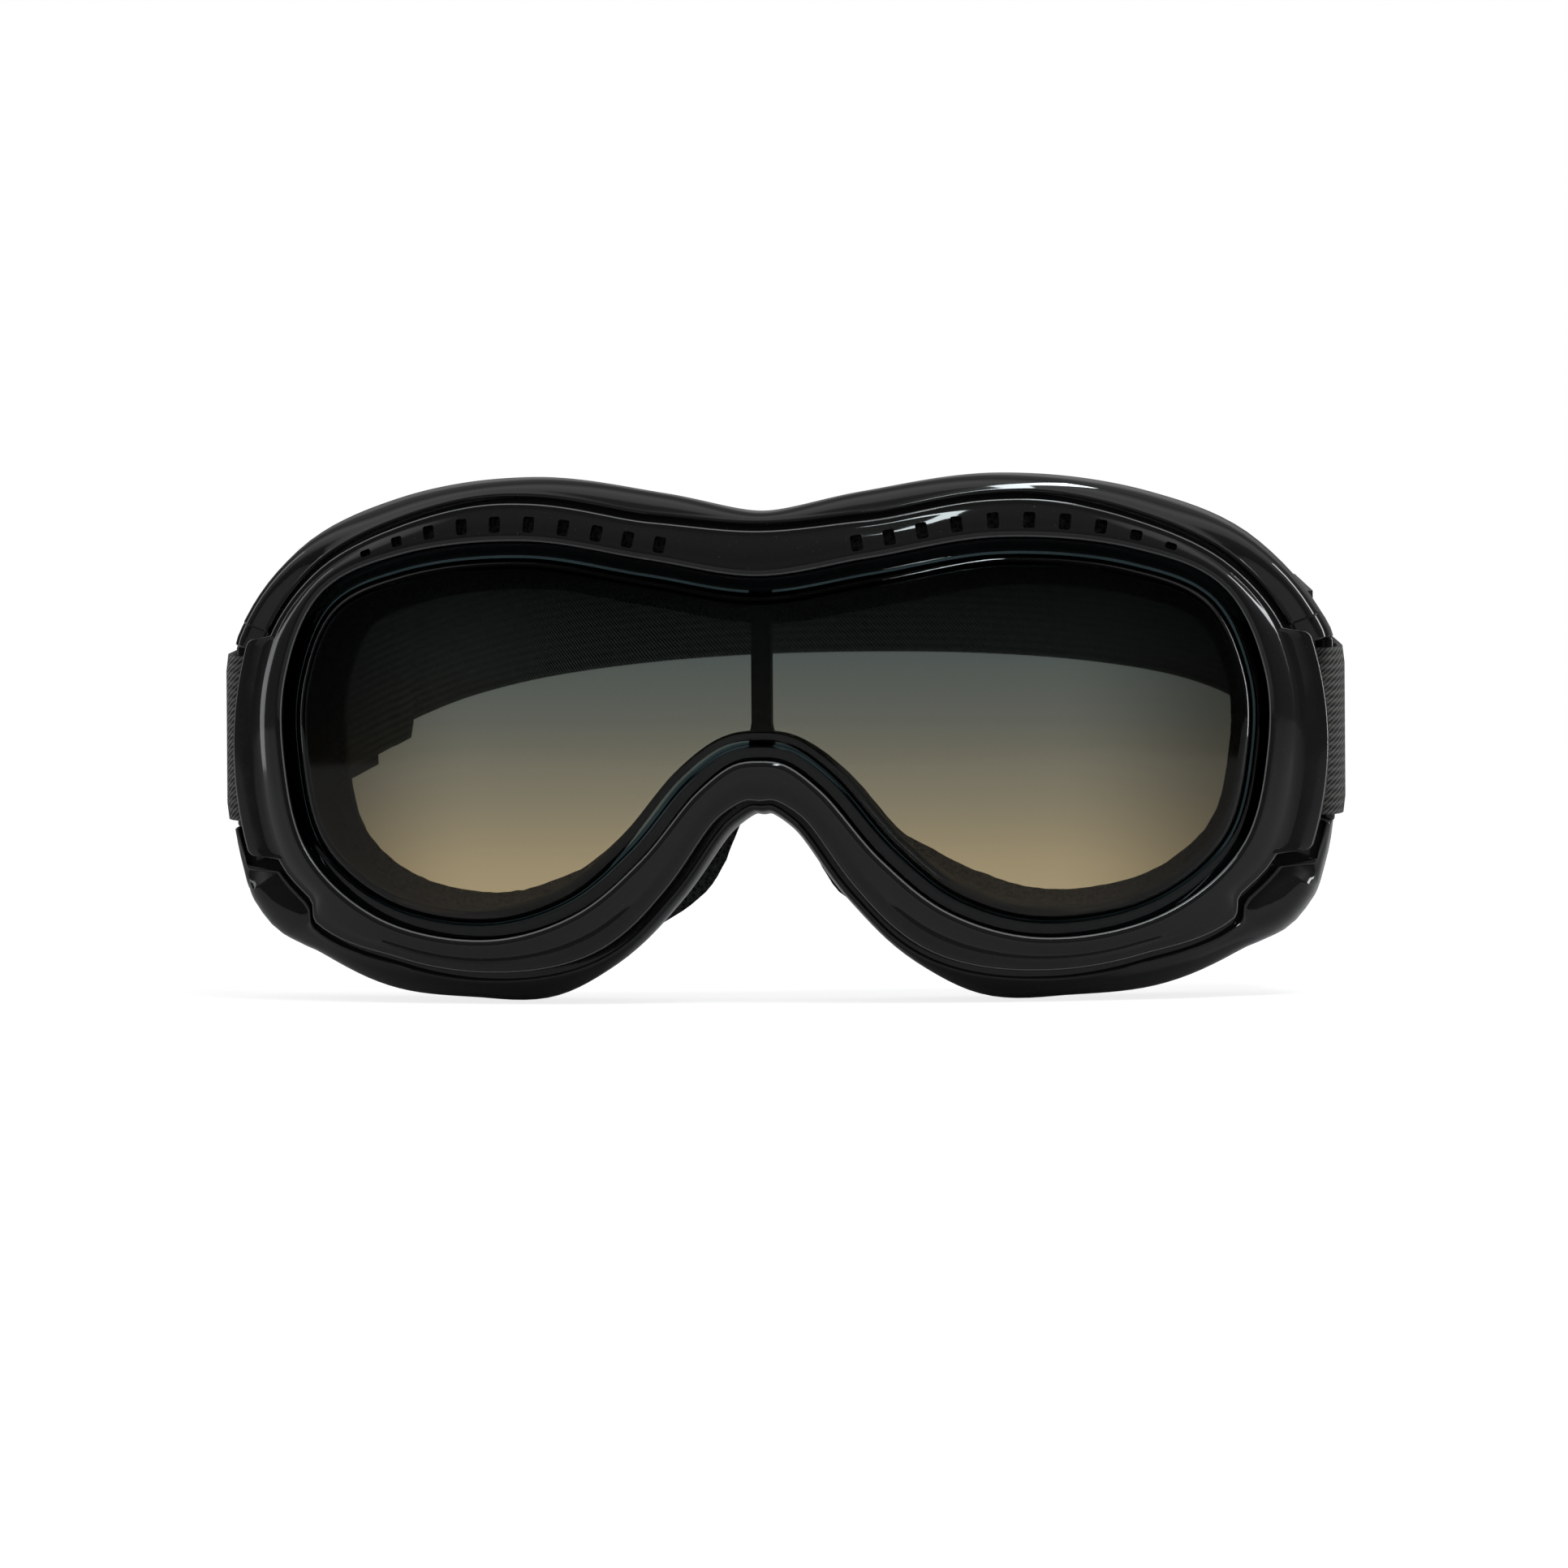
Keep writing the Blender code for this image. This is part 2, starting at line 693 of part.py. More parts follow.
def make_post(finish):
    """Rib between brow and nose arch, behind the lens, wider at its foot."""
    top = RIM.offset(0.0, SEAT_INNER).y - FIT
    bottom = RIM.offset(1.0, SEAT_INNER).y + FIT
    levels = (
        (bottom, POST_FLARE),
        (bottom + POST_FLARE_HEIGHT / 3, POST_FLARE / 3),
        (bottom + POST_FLARE_HEIGHT, 0.0),
        (top - POST_FLARE_HEIGHT, 0.0),
        (top, POST_FLARE / 2),
    )
    sections = []
    for height, flare in levels:
        half = POST_WIDTH / 2 + flare
        corners = ((-half, SEAT_Y), (half, SEAT_Y), (half, SEAT_Y + POST_DEPTH), (-half, SEAT_Y + POST_DEPTH))
        sections.append([(x, y, height) for x, y in corners])
    return capped_loft("centre_post", sections, finish)


# ---- strap ----------------------------------------------------------------------------------------
OUTER_PLY = BAR_DIAMETER / 2 + FIT + STRAP_THICKNESS / 2  # from the bar's centre to the middle of the webbing
RUN = Vector((-math.sin(LEAN), math.cos(LEAN)))  # direction of the straight run in the plan
FACING = Vector((math.cos(LEAN), math.sin(LEAN)))  # the way its outer face looks
ROWS = [STRAP_HALF_WIDTH * (2 * k / WEBBING_ROWS - 1) for k in range(WEBBING_ROWS + 1)]


def straight_run(behind, shift):
    """Plan of the straight run where it is a distance behind the bars, for a ply beside the bar."""
    start = Vector((BAR_X, 0.0)) + FACING * shift
    return start + RUN * ((behind - start.y) / RUN.y)


def band_plan():
    """Plan of the band from the bars on one side to the bars on the other."""
    start = straight_run(STRAP_CUT, OUTER_PLY)
    end = straight_run(STRAP_STRAIGHT, OUTER_PLY)
    half = smooth_curve([tuple(start), tuple(end), *STRAP_BACK], BACK_STEPS)[BACK_STEPS:]
    other = [Vector((-p.x, p.y)) for p in reversed(half[:-1])]
    return half + other


def tilted(x, behind, across):
    """Place of a point of the strap, which rises to the back about the bars."""
    y = BAR_Y + behind * math.cos(RISE) - across * math.sin(RISE)
    z = BAR_Z + behind * math.sin(RISE) + across * math.cos(RISE)
    return (x, y, z)


def plan_normal(path, k):
    before = path[max(k - 1, 0)]
    after = path[min(k + 1, len(path) - 1)]
    along = (after - before).normalized()
    return Vector((along.y, -along.x))


def webbing(name, columns, finish, centre):
    """A closed strip from columns of (outer face, inner face) points across the webbing."""
    mesh = bmesh.new()
    rings = []
    for column in columns:
        outer = [mesh.verts.new(pair[0]) for pair in column]
        inner = [mesh.verts.new(pair[1]) for pair in reversed(column)]
        rings.append(outer + inner)
    bridge(mesh, rings, closed_run=False, closed_section=True)
    for ring in (rings[0], rings[-1]):
        for k in range(WEBBING_ROWS):
            mesh.faces.new((ring[k], ring[k + 1], ring[-2 - k], ring[-1 - k]))
    return finish_object(name, mesh, finish, centre)


def cut_behind(radius, across):
    """How far behind the bars the cut round them is, at a distance from the webbing's middle."""
    return math.sqrt(radius**2 - across**2)


def webbing_pair(point, normal, across):
    half = STRAP_THICKNESS / 2
    outer = point + normal * half
    inner = point - normal * half
    return tilted(outer.x, outer.y, across), tilted(inner.x, inner.y, across)


def mirrored_column(column):
    return [tuple(mirrored(pair)) for pair in column]


def make_band(finish):
    path = band_plan()
    middle = [[webbing_pair(point, plan_normal(path, k), across) for across in ROWS] for k, point in enumerate(path)]
    cuts = [straight_run(cut_behind(STRAP_CUT + FIT, across), OUTER_PLY) for across in ROWS]
    end = [webbing_pair(cut, FACING, across) for cut, across in zip(cuts, ROWS)]
    return webbing("strap_band", [end, *middle, mirrored_column(end)], finish, PIVOT)


def make_tail(name, side, finish):
    """The inner ply, from the fold back through the slider."""
    columns = []
    for part in (0.0, 0.5, 1.0):
        column = []
        for across in ROWS:
            start = cut_behind(STRAP_CUT + FIT, across)
            spot = straight_run(start + (TAIL_END - start) * part, -OUTER_PLY)
            column.append(webbing_pair(spot, FACING, across))
        columns.append(column if side > 0 else mirrored_column(column))
    return webbing(name, columns, finish, PIVOT)


def fold_pair(normal, across, share):
    """A point of the fold: upright at the bar (share 0) and tilted with the band at the cut (share 1)."""
    spot = Vector((BAR_X, 0.0)) + normal * OUTER_PLY
    cut = cut_behind(STRAP_CUT, across)
    pair = []
    for shift in (STRAP_THICKNESS / 2, -STRAP_THICKNESS / 2):
        near = spot + normal * shift
        far = near + RUN * ((cut - spot.y) / RUN.y)
        level = Vector((near.x, BAR_Y + near.y, BAR_Z + across / math.cos(RISE)))
        pair.append(tuple(level.lerp(Vector(tilted(far.x, far.y, across)), share)))
    return tuple(pair)


def make_loop(name, side, finish):
    """The fold round the bar, with both plies back to the cut."""
    stops = [(FACING, share) for share in (1.0, 0.6, 0.25)]
    for k in range(FOLD_STEPS + 1):
        angle = math.pi * k / FOLD_STEPS - LEAN
        stops.append((Vector((math.cos(angle), -math.sin(angle))), 0.0))
    stops += [(-FACING, share) for share in (0.25, 0.6, 1.0)]
    columns = [[fold_pair(normal, across, share) for across in ROWS] for normal, share in stops]
    if side < 0:
        columns = [mirrored_column(column) for column in columns]
    return webbing(name, columns, finish, (side * BAR_X, BAR_Y, BAR_Z))


def make_slider(name, side, finish):
    """Three-bar slider: end bars over the band, middle bar between the band and its inner ply."""
    middle = straight_run(SLIDER_PLACE, OUTER_PLY)
    place = Vector(tilted(side * middle.x, middle.y, 0.0)) * MM
    pose = Matrix.Translation(place) @ Matrix.Rotation(RISE, 4, "X") @ Matrix.Rotation(side * LEAN, 4, "Z")
    over = STRAP_THICKNESS / 2 + SLIDER_GAP
    top = over + SLIDER_PLATE
    under = 2 * OUTER_PLY - over
    rail = STRAP_HALF_WIDTH + SLIDER_SIDE_GAP
    reach = rail + SLIDER_LAP
    end = SLIDER_LENGTH / 2

    def bar(label, outs, alongs, acrosses):
        low = (min(side * outs[0], side * outs[1]), alongs[0], acrosses[0])
        high = (max(side * outs[0], side * outs[1]), alongs[1], acrosses[1])
        piece = box_object(label, low, high, finish)
        piece.matrix_basis = pose
        return piece

    slider = bar(name, (-under, top), (-end, end), (rail, rail + SLIDER_RAIL))
    others = (
        bar(f"{name}_lower_rail", (-under, top), (-end, end), (-rail - SLIDER_RAIL, -rail)),
        bar(f"{name}_front_bar", (over, top), (-end, SLIDER_END_BAR - end), (-reach, reach)),
        bar(f"{name}_back_bar", (over, top), (end - SLIDER_END_BAR, end), (-reach, reach)),
        bar(f"{name}_middle_bar", (-under, -over), (-SLIDER_MID_BAR / 2, SLIDER_MID_BAR / 2), (-reach, reach)),
    )
    for other in others:
        combine(slider, other, "UNION")
    return slider


# ---- the goggles ----------------------------------------------------------------------------------
def build():
    for old in list(bpy.data.objects):
        bpy.data.objects.remove(old, do_unlink=True)
    gloss_black = material("gloss_black_plastic", (0.012, 0.012, 0.013), 0.12)
    smoke = material("smoke_lens", (0.16, 0.20, 0.21), 0.03, alpha=0.45)
    rubber = material("seal_rubber", (0.02, 0.02, 0.02), 0.6)
    post_blue = material("post_dark_blue", (0.02, 0.03, 0.045), 0.3)
    foam = material("open_cell_foam", (0.03, 0.03, 0.03), 0.95)
    web = material("elastic_webbing", (0.045, 0.05, 0.06), 0.85)
    slider_black = material("slider_plastic", (0.02, 0.02, 0.02), 0.4)

    release = empty("bezel_release", (0.0, 0.0, 0.0))
    pivot = empty("strap_tilt", PIVOT)
    vents = make_vent_cutter(gloss_black)
    make_shell(gloss_black, vents)
    rim_ring("lens_seal", seal_section, rubber)
    rim_ring("face_foam", foam_section, foam)
    make_post(post_blue)
    bezel = rim_ring("front_bezel", bezel_section, gloss_black)
    combine(bezel, vents, "DIFFERENCE")
    attach(bezel, release)
    attach(make_lens(smoke), release)
    attach(make_band(web), pivot)
    for side, hand in ((1, "left"), (-1, "right")):
        make_filter(f"brow_filter_{hand}", side, foam)
        make_loop(f"strap_loop_{hand}", side, web)
        attach(make_tail(f"strap_tail_{hand}", side, web), pivot)
        attach(make_slider(f"strap_slider_{hand}", side, slider_black), pivot)


build()
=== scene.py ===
import math

import bmesh
import bpy
from mathutils import Matrix, Vector, noise


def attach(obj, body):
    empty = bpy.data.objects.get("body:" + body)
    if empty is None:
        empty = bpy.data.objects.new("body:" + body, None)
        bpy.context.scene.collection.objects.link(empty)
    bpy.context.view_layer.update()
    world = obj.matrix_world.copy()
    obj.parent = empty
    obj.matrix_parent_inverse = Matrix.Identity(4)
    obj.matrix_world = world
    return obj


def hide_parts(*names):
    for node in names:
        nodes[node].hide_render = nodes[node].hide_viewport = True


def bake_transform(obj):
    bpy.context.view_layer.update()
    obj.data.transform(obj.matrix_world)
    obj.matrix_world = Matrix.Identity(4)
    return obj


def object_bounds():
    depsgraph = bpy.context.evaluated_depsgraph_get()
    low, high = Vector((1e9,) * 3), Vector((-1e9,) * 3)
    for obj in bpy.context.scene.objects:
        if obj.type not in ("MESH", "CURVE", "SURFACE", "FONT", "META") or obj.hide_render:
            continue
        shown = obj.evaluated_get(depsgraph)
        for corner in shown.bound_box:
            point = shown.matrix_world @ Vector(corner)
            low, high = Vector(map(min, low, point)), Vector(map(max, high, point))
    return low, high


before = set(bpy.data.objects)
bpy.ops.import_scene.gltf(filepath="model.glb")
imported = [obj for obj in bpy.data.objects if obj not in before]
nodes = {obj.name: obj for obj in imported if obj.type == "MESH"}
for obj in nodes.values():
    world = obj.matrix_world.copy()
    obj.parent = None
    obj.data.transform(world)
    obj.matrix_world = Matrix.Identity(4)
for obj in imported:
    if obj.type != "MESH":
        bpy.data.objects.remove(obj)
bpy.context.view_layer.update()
mm = 0.001


# Outline of the goggles, in millimetres. A place runs from 0 at the brow centre to 1 at the nose arch.
outline = {
    "halfWidth": 74.9,
    "top": 27.4,
    "bottom": 28.4,
    "sweepRadius": 135.0,
    "rearCurve": 0.005,
    "windowEdge": (
        (0.000, 0.788), (0.236, 0.887), (0.493, 1.000), (0.756, 0.938), (0.919, 0.752),
        (0.992, 0.325), (0.995, -0.106), (0.947, -0.574), (0.801, -0.894), (0.579, -1.000),
        (0.407, -0.873), (0.279, -0.602), (0.155, -0.222), (0.068, -0.056), (0.000, -0.028),
    ),
    "knotSteps": 40,
    "steps": 150,  # stations round half the rim
    "cornerSteps": 5,
    "cornerGap": 0.0006,
    "cornerHalf": 0.0008,  # half the stretch of rim in which a step in width is made
    "lowSide": 0.594,  # where both bands swell below the wing
    "outerSide": (0.30, 0.62),
    "smoothAngle": 38.0,
}


def hermite(start, end, leave, arrive, t):
    left = start * (1 + 2 * t) * (1 - t) ** 2 + leave * t * (1 - t) ** 2
    return left + end * t * t * (3 - 2 * t) + arrive * t * t * (t - 1)


def smoothCurve(points, steps):
    first, last = (Vector((-points[k][0], points[k][1])) for k in (1, -2))
    knots = [first] + [Vector(p) for p in points] + [last]
    curve = []
    for before, start, end, after in zip(knots, knots[1:], knots[2:], knots[3:]):
        a, b, c = (math.sqrt((q - p).length) for p, q in ((before, start), (start, end), (end, after)))
        leave = (end - start) + b * ((start - before) / a - (end - before) / (a + b))
        arrive = (end - start) + b * ((after - end) / c - (after - start) / (b + c))
        curve += [hermite(start, end, leave, arrive, k / steps) for k in range(steps)]
    return curve + [knots[-2]]


def eased(table, place):
    place = min(max(place, table[0][0]), table[-1][0])
    k = max(i for i in range(len(table) - 1) if table[i][0] <= place)
    slopes = [(q[1] - p[1]) / (q[0] - p[0]) for p, q in zip(table, table[1:])]

    def tangent(i):
        if i in (0, len(table) - 1) or slopes[i - 1] * slopes[i] <= 0:
            return 0.0
        return 2 * slopes[i - 1] * slopes[i] / (slopes[i - 1] + slopes[i])

    width = table[k + 1][0] - table[k][0]
    t = (place - table[k][0]) / width
    return hermite(table[k][1], table[k + 1][1], tangent(k) * width, tangent(k + 1) * width, t)


def rise(value, low, high):
    t = min(max((value - low) / (high - low), 0.0), 1.0)
    return t * t * (3 - 2 * t)


def within(place, start, end):
    half = outline["cornerHalf"]
    return rise(place, start - half, start + half) * (1 - rise(place, end - half, end + half))


class Rim:
    def __init__(self):
        points = []
        for across, up in outline["windowEdge"]:
            height = outline["top"] if up > 0 else outline["bottom"]
            points.append((across * outline["halfWidth"], up * height))
        self.curve = smoothCurve(points, outline["knotSteps"])
        self.run = [0.0]
        for start, end in zip(self.curve, self.curve[1:]):
            self.run.append(self.run[-1] + (end - start).length)
        self.length = self.run[-1]
        self.known = {}

    def point(self, place):
        if place < 0.0 or place > 1.0:
            p = self.point(-place if place < 0.0 else 2.0 - place)
            return Vector((-p.x, p.y))
        along = place * self.length
        low, high = 0, len(self.run) - 2
        while low < high:
            mid = (low + high + 1) // 2
            low, high = (mid, high) if self.run[mid] <= along else (low, mid - 1)
        share = (along - self.run[low]) / (self.run[low + 1] - self.run[low])
        return self.curve[low].lerp(self.curve[low + 1], share)

    def outward(self, place):
        along = (self.point(place + 0.02) - self.point(place - 0.02)).normalized()
        return Vector((-along.y, along.x))

    def offset(self, place, width):
        if place not in self.known:
            self.known[place] = (self.point(place), self.outward(place))
        point, outward = self.known[place]
        return point + outward * width


rim = Rim()


def placeAtHeight(height, band):
    low, high = outline["outerSide"]
    for _ in range(40):
        mid = (low + high) / 2
        above = rim.offset(mid, eased(band, mid)).y > height
        low, high = (mid, high) if above else (low, mid)
    return low


def sweep(x):
    return outline["sweepRadius"] - math.sqrt(outline["sweepRadius"] ** 2 - x * x)


def rear(x):
    return outline["rearCurve"] * x * x


def onSweep(edge, depth):
    return Vector((edge.x, sweep(edge.x) + depth, edge.y))


def onRear(edge, depth):
    return Vector((edge.x, rear(edge.x) + depth, edge.y))


def bridge(mesh, columns, closedRun, closedSection):
    size = len(columns[0])
    for i in range(len(columns) if closedRun else len(columns) - 1):
        here, there = columns[i], columns[(i + 1) % len(columns)]
        for j in range(size if closedSection else size - 1):
            k = (j + 1) % size
            mesh.faces.new((here[j], here[k], there[k], there[j]))


def rimColumns(mesh, section, places):
    half = [section(place) for place in places]
    other = [[(-x, y, z) for x, y, z in points] for points in reversed(half[1:-1])]
    return [[mesh.verts.new(p) for p in points] for points in half + other]


def smoothShade(data, angle=outline["smoothAngle"]):
    data.shade_smooth()
    data.set_sharp_from_angle(angle=math.radians(angle))


def asObject(name, mesh, angle=outline["smoothAngle"]):
    for vert in mesh.verts:
        vert.co *= mm
    bmesh.ops.recalc_face_normals(mesh, faces=mesh.faces)
    data = bpy.data.meshes.new(name)
    mesh.to_mesh(data)
    mesh.free()
    smoothShade(data, angle)
    piece = bpy.data.objects.new(name, data)
    bpy.context.scene.collection.objects.link(piece)
    return piece


def rimRing(name, section, places, highlightBands):
    mesh = bmesh.new()
    columns = rimColumns(mesh, section, places)
    bridge(mesh, columns, True, True)
    # faces in these bands take a lighter finish: a painted highlight along the crisp edges
    for k, face in enumerate(mesh.faces):
        face.material_index = int(k % len(columns[0]) in highlightBands)
    return asObject(name, mesh)


def selectOnly(*pieces):  # the first is the active one
    bpy.ops.object.select_all(action="DESELECT")
    for piece in pieces:
        piece.select_set(True)
    bpy.context.view_layer.objects.active = pieces[0]


def applyModifiers(piece):
    selectOnly(piece)
    for modifier in list(piece.modifiers):
        bpy.ops.object.modifier_apply(modifier=modifier.name)


def addRound(piece, width):
    edges = piece.modifiers.new("round", "BEVEL")
    edges.width = width * mm
    edges.segments = 3
    edges.limit_method = "ANGLE"


def addBoolean(piece, other, operation):
    made = piece.modifiers.new("boolean", "BOOLEAN")
    made.operation = operation
    made.solver = "EXACT"
    made.object = other


# Bezel: the front frame with its wings
bezel = {
    "band": (
        (0.00, 10.1), (0.12, 8.8), (0.21, 9.0), (0.30, 7.4), (0.36, 6.4), (0.41, 7.8), (0.56, 8.4),
        (0.588, 7.7), (0.600, 9.8), (0.66, 7.9), (0.72, 8.2), (0.80, 9.8), (0.92, 8.1), (1.00, 9.3),
    ),
    "wingReach": 12.2,
    "wingBow": 2.8,
    "wingTop": 15.9,
    "wingBottom": -18.6,
    "wingRound": 1.1,
    "wingStep": 0.0015,  # in places along the rim, as is wingCorner
    "wingCorner": 0.006,
    "flangeShown": 3.0,
    "pocket": 4.1,
    "flangeFront": 1.5,
    "lip": ((0.0, 0.62), (0.08, 0.30), (0.30, 0.02), (0.60, -0.15), (0.9, -0.2), (1.3, -0.15), (1.7, 0.0)),
    "faceInset": 0.9,
    "faceRear": 1.35,
    "faceBow": 0.22,
    "shoulderFall": 0.05,
    "round": 0.4,
    "roundDepth": 0.5,
    "wall": 1.2,
    "rearDepth": 5.1,
    "rearRound": (0.2, 0.25),
    "seatDepth": 3.4,
    "ridge": 0.42,  # moulded in the band on both sides of the nose arch
    "ridgeStart": (0.60, 0.66),
    "ridgeEnd": (0.80, 0.90),
    "ridgeMiddle": 0.62,
    "ridgeHalf": 0.2,
    "crease": 0.2,
    "creaseSteps": ((0.16, 1.0), (0.38, 0.6), (0.7, 0.2), (1.0, 0.0)),
    "highlightBands": (2, 20),  # the bands of the section painted lighter, a painted highlight along the crisp edges
}
wingStart = placeAtHeight(bezel["wingTop"], bezel["band"])
wingEnd = placeAtHeight(bezel["wingBottom"], bezel["band"])


def wingShare(place):
    return within(place, wingStart - bezel["wingStep"], wingEnd + bezel["wingStep"])


def bezelEdge(place):
    ring = rim.offset(place, eased(bezel["band"], place))
    t = min(max((place - wingStart) / (wingEnd - wingStart), 0.0), 1.0)
    height = bezel["wingTop"] + (bezel["wingBottom"] - bezel["wingTop"]) * t
    toEnd = min(bezel["wingTop"] - height, height - bezel["wingBottom"])
    inset = 0.0
    if toEnd < bezel["wingRound"]:
        inset = bezel["wingRound"] - math.sqrt(bezel["wingRound"] ** 2 - (bezel["wingRound"] - toEnd) ** 2)
    reach = outline["halfWidth"] + bezel["wingReach"] - bezel["wingBow"] * (2 * t - 1) ** 2 - inset
    return ring.lerp(Vector((reach, height)), wingShare(place))


def bezelSection(place):
    band = eased(bezel["band"], place)
    share = wingShare(place)
    edge = bezelEdge(place)
    shown = bezel["flangeShown"]
    points = [onSweep(rim.offset(place, shown), bezel["flangeFront"])]
    points += [onSweep(rim.offset(place, shown + across), depth) for across, depth in bezel["lip"]]
    faceStart, faceEnd = shown + bezel["lip"][-1][0], band - bezel["faceInset"]
    ridge = bezel["ridge"] * rise(place, *bezel["ridgeStart"]) * (1 - rise(place, *bezel["ridgeEnd"]))
    for k in range(1, 9):
        t = k / 8
        depth = bezel["faceRear"] * t - bezel["faceBow"] * math.sin(math.pi * t)
        depth -= ridge * max(0.0, 1 - abs(t - bezel["ridgeMiddle"]) / bezel["ridgeHalf"])
        points.append(onSweep(rim.offset(place, faceStart + (faceEnd - faceStart) * t), depth))
    ringEnd = rim.offset(place, faceEnd)
    out = (edge - ringEnd).normalized()
    shoulder = edge - out * bezel["round"]
    steps = bezel["creaseSteps"]
    for k, (along, deep) in enumerate(steps, 1):
        depth = bezel["faceRear"] + bezel["shoulderFall"] * k / len(steps)
        depth += share * bezel["crease"] * deep
        points.append(onSweep(ringEnd.lerp(shoulder, along), depth))
    for angle in (22.5, 45.0, 67.5, 90.0):
        a = math.radians(angle)
        depth = bezel["faceRear"] + bezel["shoulderFall"] + bezel["roundDepth"] * (1 - math.cos(a))
        points.append(onSweep(shoulder + out * bezel["round"] * math.sin(a), depth))
    inner = edge - out * bezel["wall"]
    pocket = rim.offset(place, bezel["pocket"])
    roundIn, roundBack = bezel["rearRound"]
    points += [
        onSweep(edge, bezel["rearDepth"] - roundBack),
        onSweep(edge - out * roundIn, bezel["rearDepth"]),
        onSweep(inner, bezel["rearDepth"]),
        onSweep(inner, bezel["seatDepth"]),
        onSweep(pocket, bezel["seatDepth"]),
        onSweep(pocket, bezel["flangeFront"]),
    ]
    return points


def makePlaces(corners):
    around = range(-outline["cornerSteps"], outline["cornerSteps"] + 1)
    fine = [corner + k * outline["cornerGap"] for corner in corners for k in around]
    reach = outline["cornerGap"] * (outline["cornerSteps"] + 1)
    even = [k / outline["steps"] for k in range(outline["steps"] + 1)]
    return sorted(fine + [p for p in even if all(abs(p - corner) > reach for corner in corners)])


bezelPlaces = makePlaces([
    wingStart - bezel["wingStep"], wingEnd + bezel["wingStep"], outline["lowSide"],
    wingStart + bezel["wingCorner"], wingEnd - bezel["wingCorner"],
])
frontBezel = rimRing("frontBezel", bezelSection, bezelPlaces, bezel["highlightBands"])
print("bezel shaped")


# Rear shell: seat, raised lip and flared side
shell = {
    "band": (
        (0.00, 13.4), (0.10, 13.8), (0.22, 13.2), (0.30, 12.5), (0.36, 12.1), (0.40, 13.8), (0.415, 14.5),
        (0.52, 14.4), (0.55, 15.5), (0.57, 16.7), (0.58, 16.7), (0.60, 15.1), (0.61, 14.3), (0.66, 13.3),
        (0.71, 12.4), (0.76, 13.6), (0.80, 12.7), (0.86, 11.5), (0.92, 10.7), (1.00, 11.4),
    ),
    "wall": 2.0,
    "sideWall": 2.3,
    "seat": 5.4,
    "seatInner": 0.4,
    "seatOverlap": 0.4,
    "lip": 1.5,
    "lipLeft": 0.1,  # what stays of the lip under the wing
    "lipGap": 1.0,
    "lipBelow": 1.7,
    "lipTop": 0.7,
    "lipInset": 0.9,
    "lipRound": 0.25,
    "lipSteps": ((0.0, 1.0), (0.06, 0.45), (0.2, 0.0), (0.42, 0.0), (0.6, 0.4)),
    "lipCorner": 0.8,
    "lipCornerHeight": 1.2,
    "lipTurn": 0.0016,
    "wingGap": (0.0036, 0.0024),  # before the wing's start, and between these the lip sinks
    "peakDepth": 10.0,
    "rearDepth": 22.0,
    "draft": 2.2,
    "draftEase": 1.1,
    "rearRound": 0.4,
    "peakInner": 1.0,
    "spreadLeave": (1.5, 1.3),  # this and the next two: on a sharp side, and what a blunt one adds
    "depthLeave": (0.35, -0.25),
    "depthArrive": (1.25, 1.35),
    "ledge": ((0.00, -1.0), (0.80, -1.0), (0.88, 0.3), (1.00, 0.3)),
    "recessWidth": 6.8,
    "recessTop": 15.0,
    "recessBottom": -13.9,
    "lobe": ((0.31, 0.0), (0.385, 1.0), (0.56, 1.0), (0.63, 0.0)),  # how blunt the side is
    # the bands of the section painted lighter, a painted highlight along the lip
    "highlightBands": (4, 5),
}
recessStart = placeAtHeight(shell["recessTop"], shell["band"])
recessEnd = placeAtHeight(shell["recessBottom"], shell["band"])
lipEnd = placeAtHeight(bezel["wingBottom"] - shell["lipBelow"], bezel["band"])


def lipEdge(place, widest):  # follows the bezel, and the wing too below the strap
    most = widest - shell["lipTop"] - shell["lipInset"]
    ring = rim.offset(place, min(eased(bezel["band"], place) + shell["lipGap"], most))
    half = outline["cornerHalf"]
    share = 1 - rise(place, lipEnd - half, lipEnd + half)
    share *= rise(place, recessEnd, recessEnd + shell["lipTurn"])
    t = min(max((place - recessEnd) / (lipEnd - recessEnd), 0.0), 1.0)
    low = bezel["wingBottom"] - shell["lipBelow"]
    height = shell["recessBottom"] + (low - shell["recessBottom"]) * t
    middle, tall = (bezel["wingTop"] + bezel["wingBottom"]) / 2, bezel["wingTop"] - bezel["wingBottom"]
    away = min(1.0, abs(height - middle) / (tall / 2))
    inset = shell["lipCorner"] * max(0.0, 1 - (height - low) / shell["lipCornerHeight"]) ** 2
    reach = outline["halfWidth"] + bezel["wingReach"] - bezel["wingBow"] * away**2 + shell["lipGap"] - inset
    return ring.lerp(Vector((reach, height)), share)


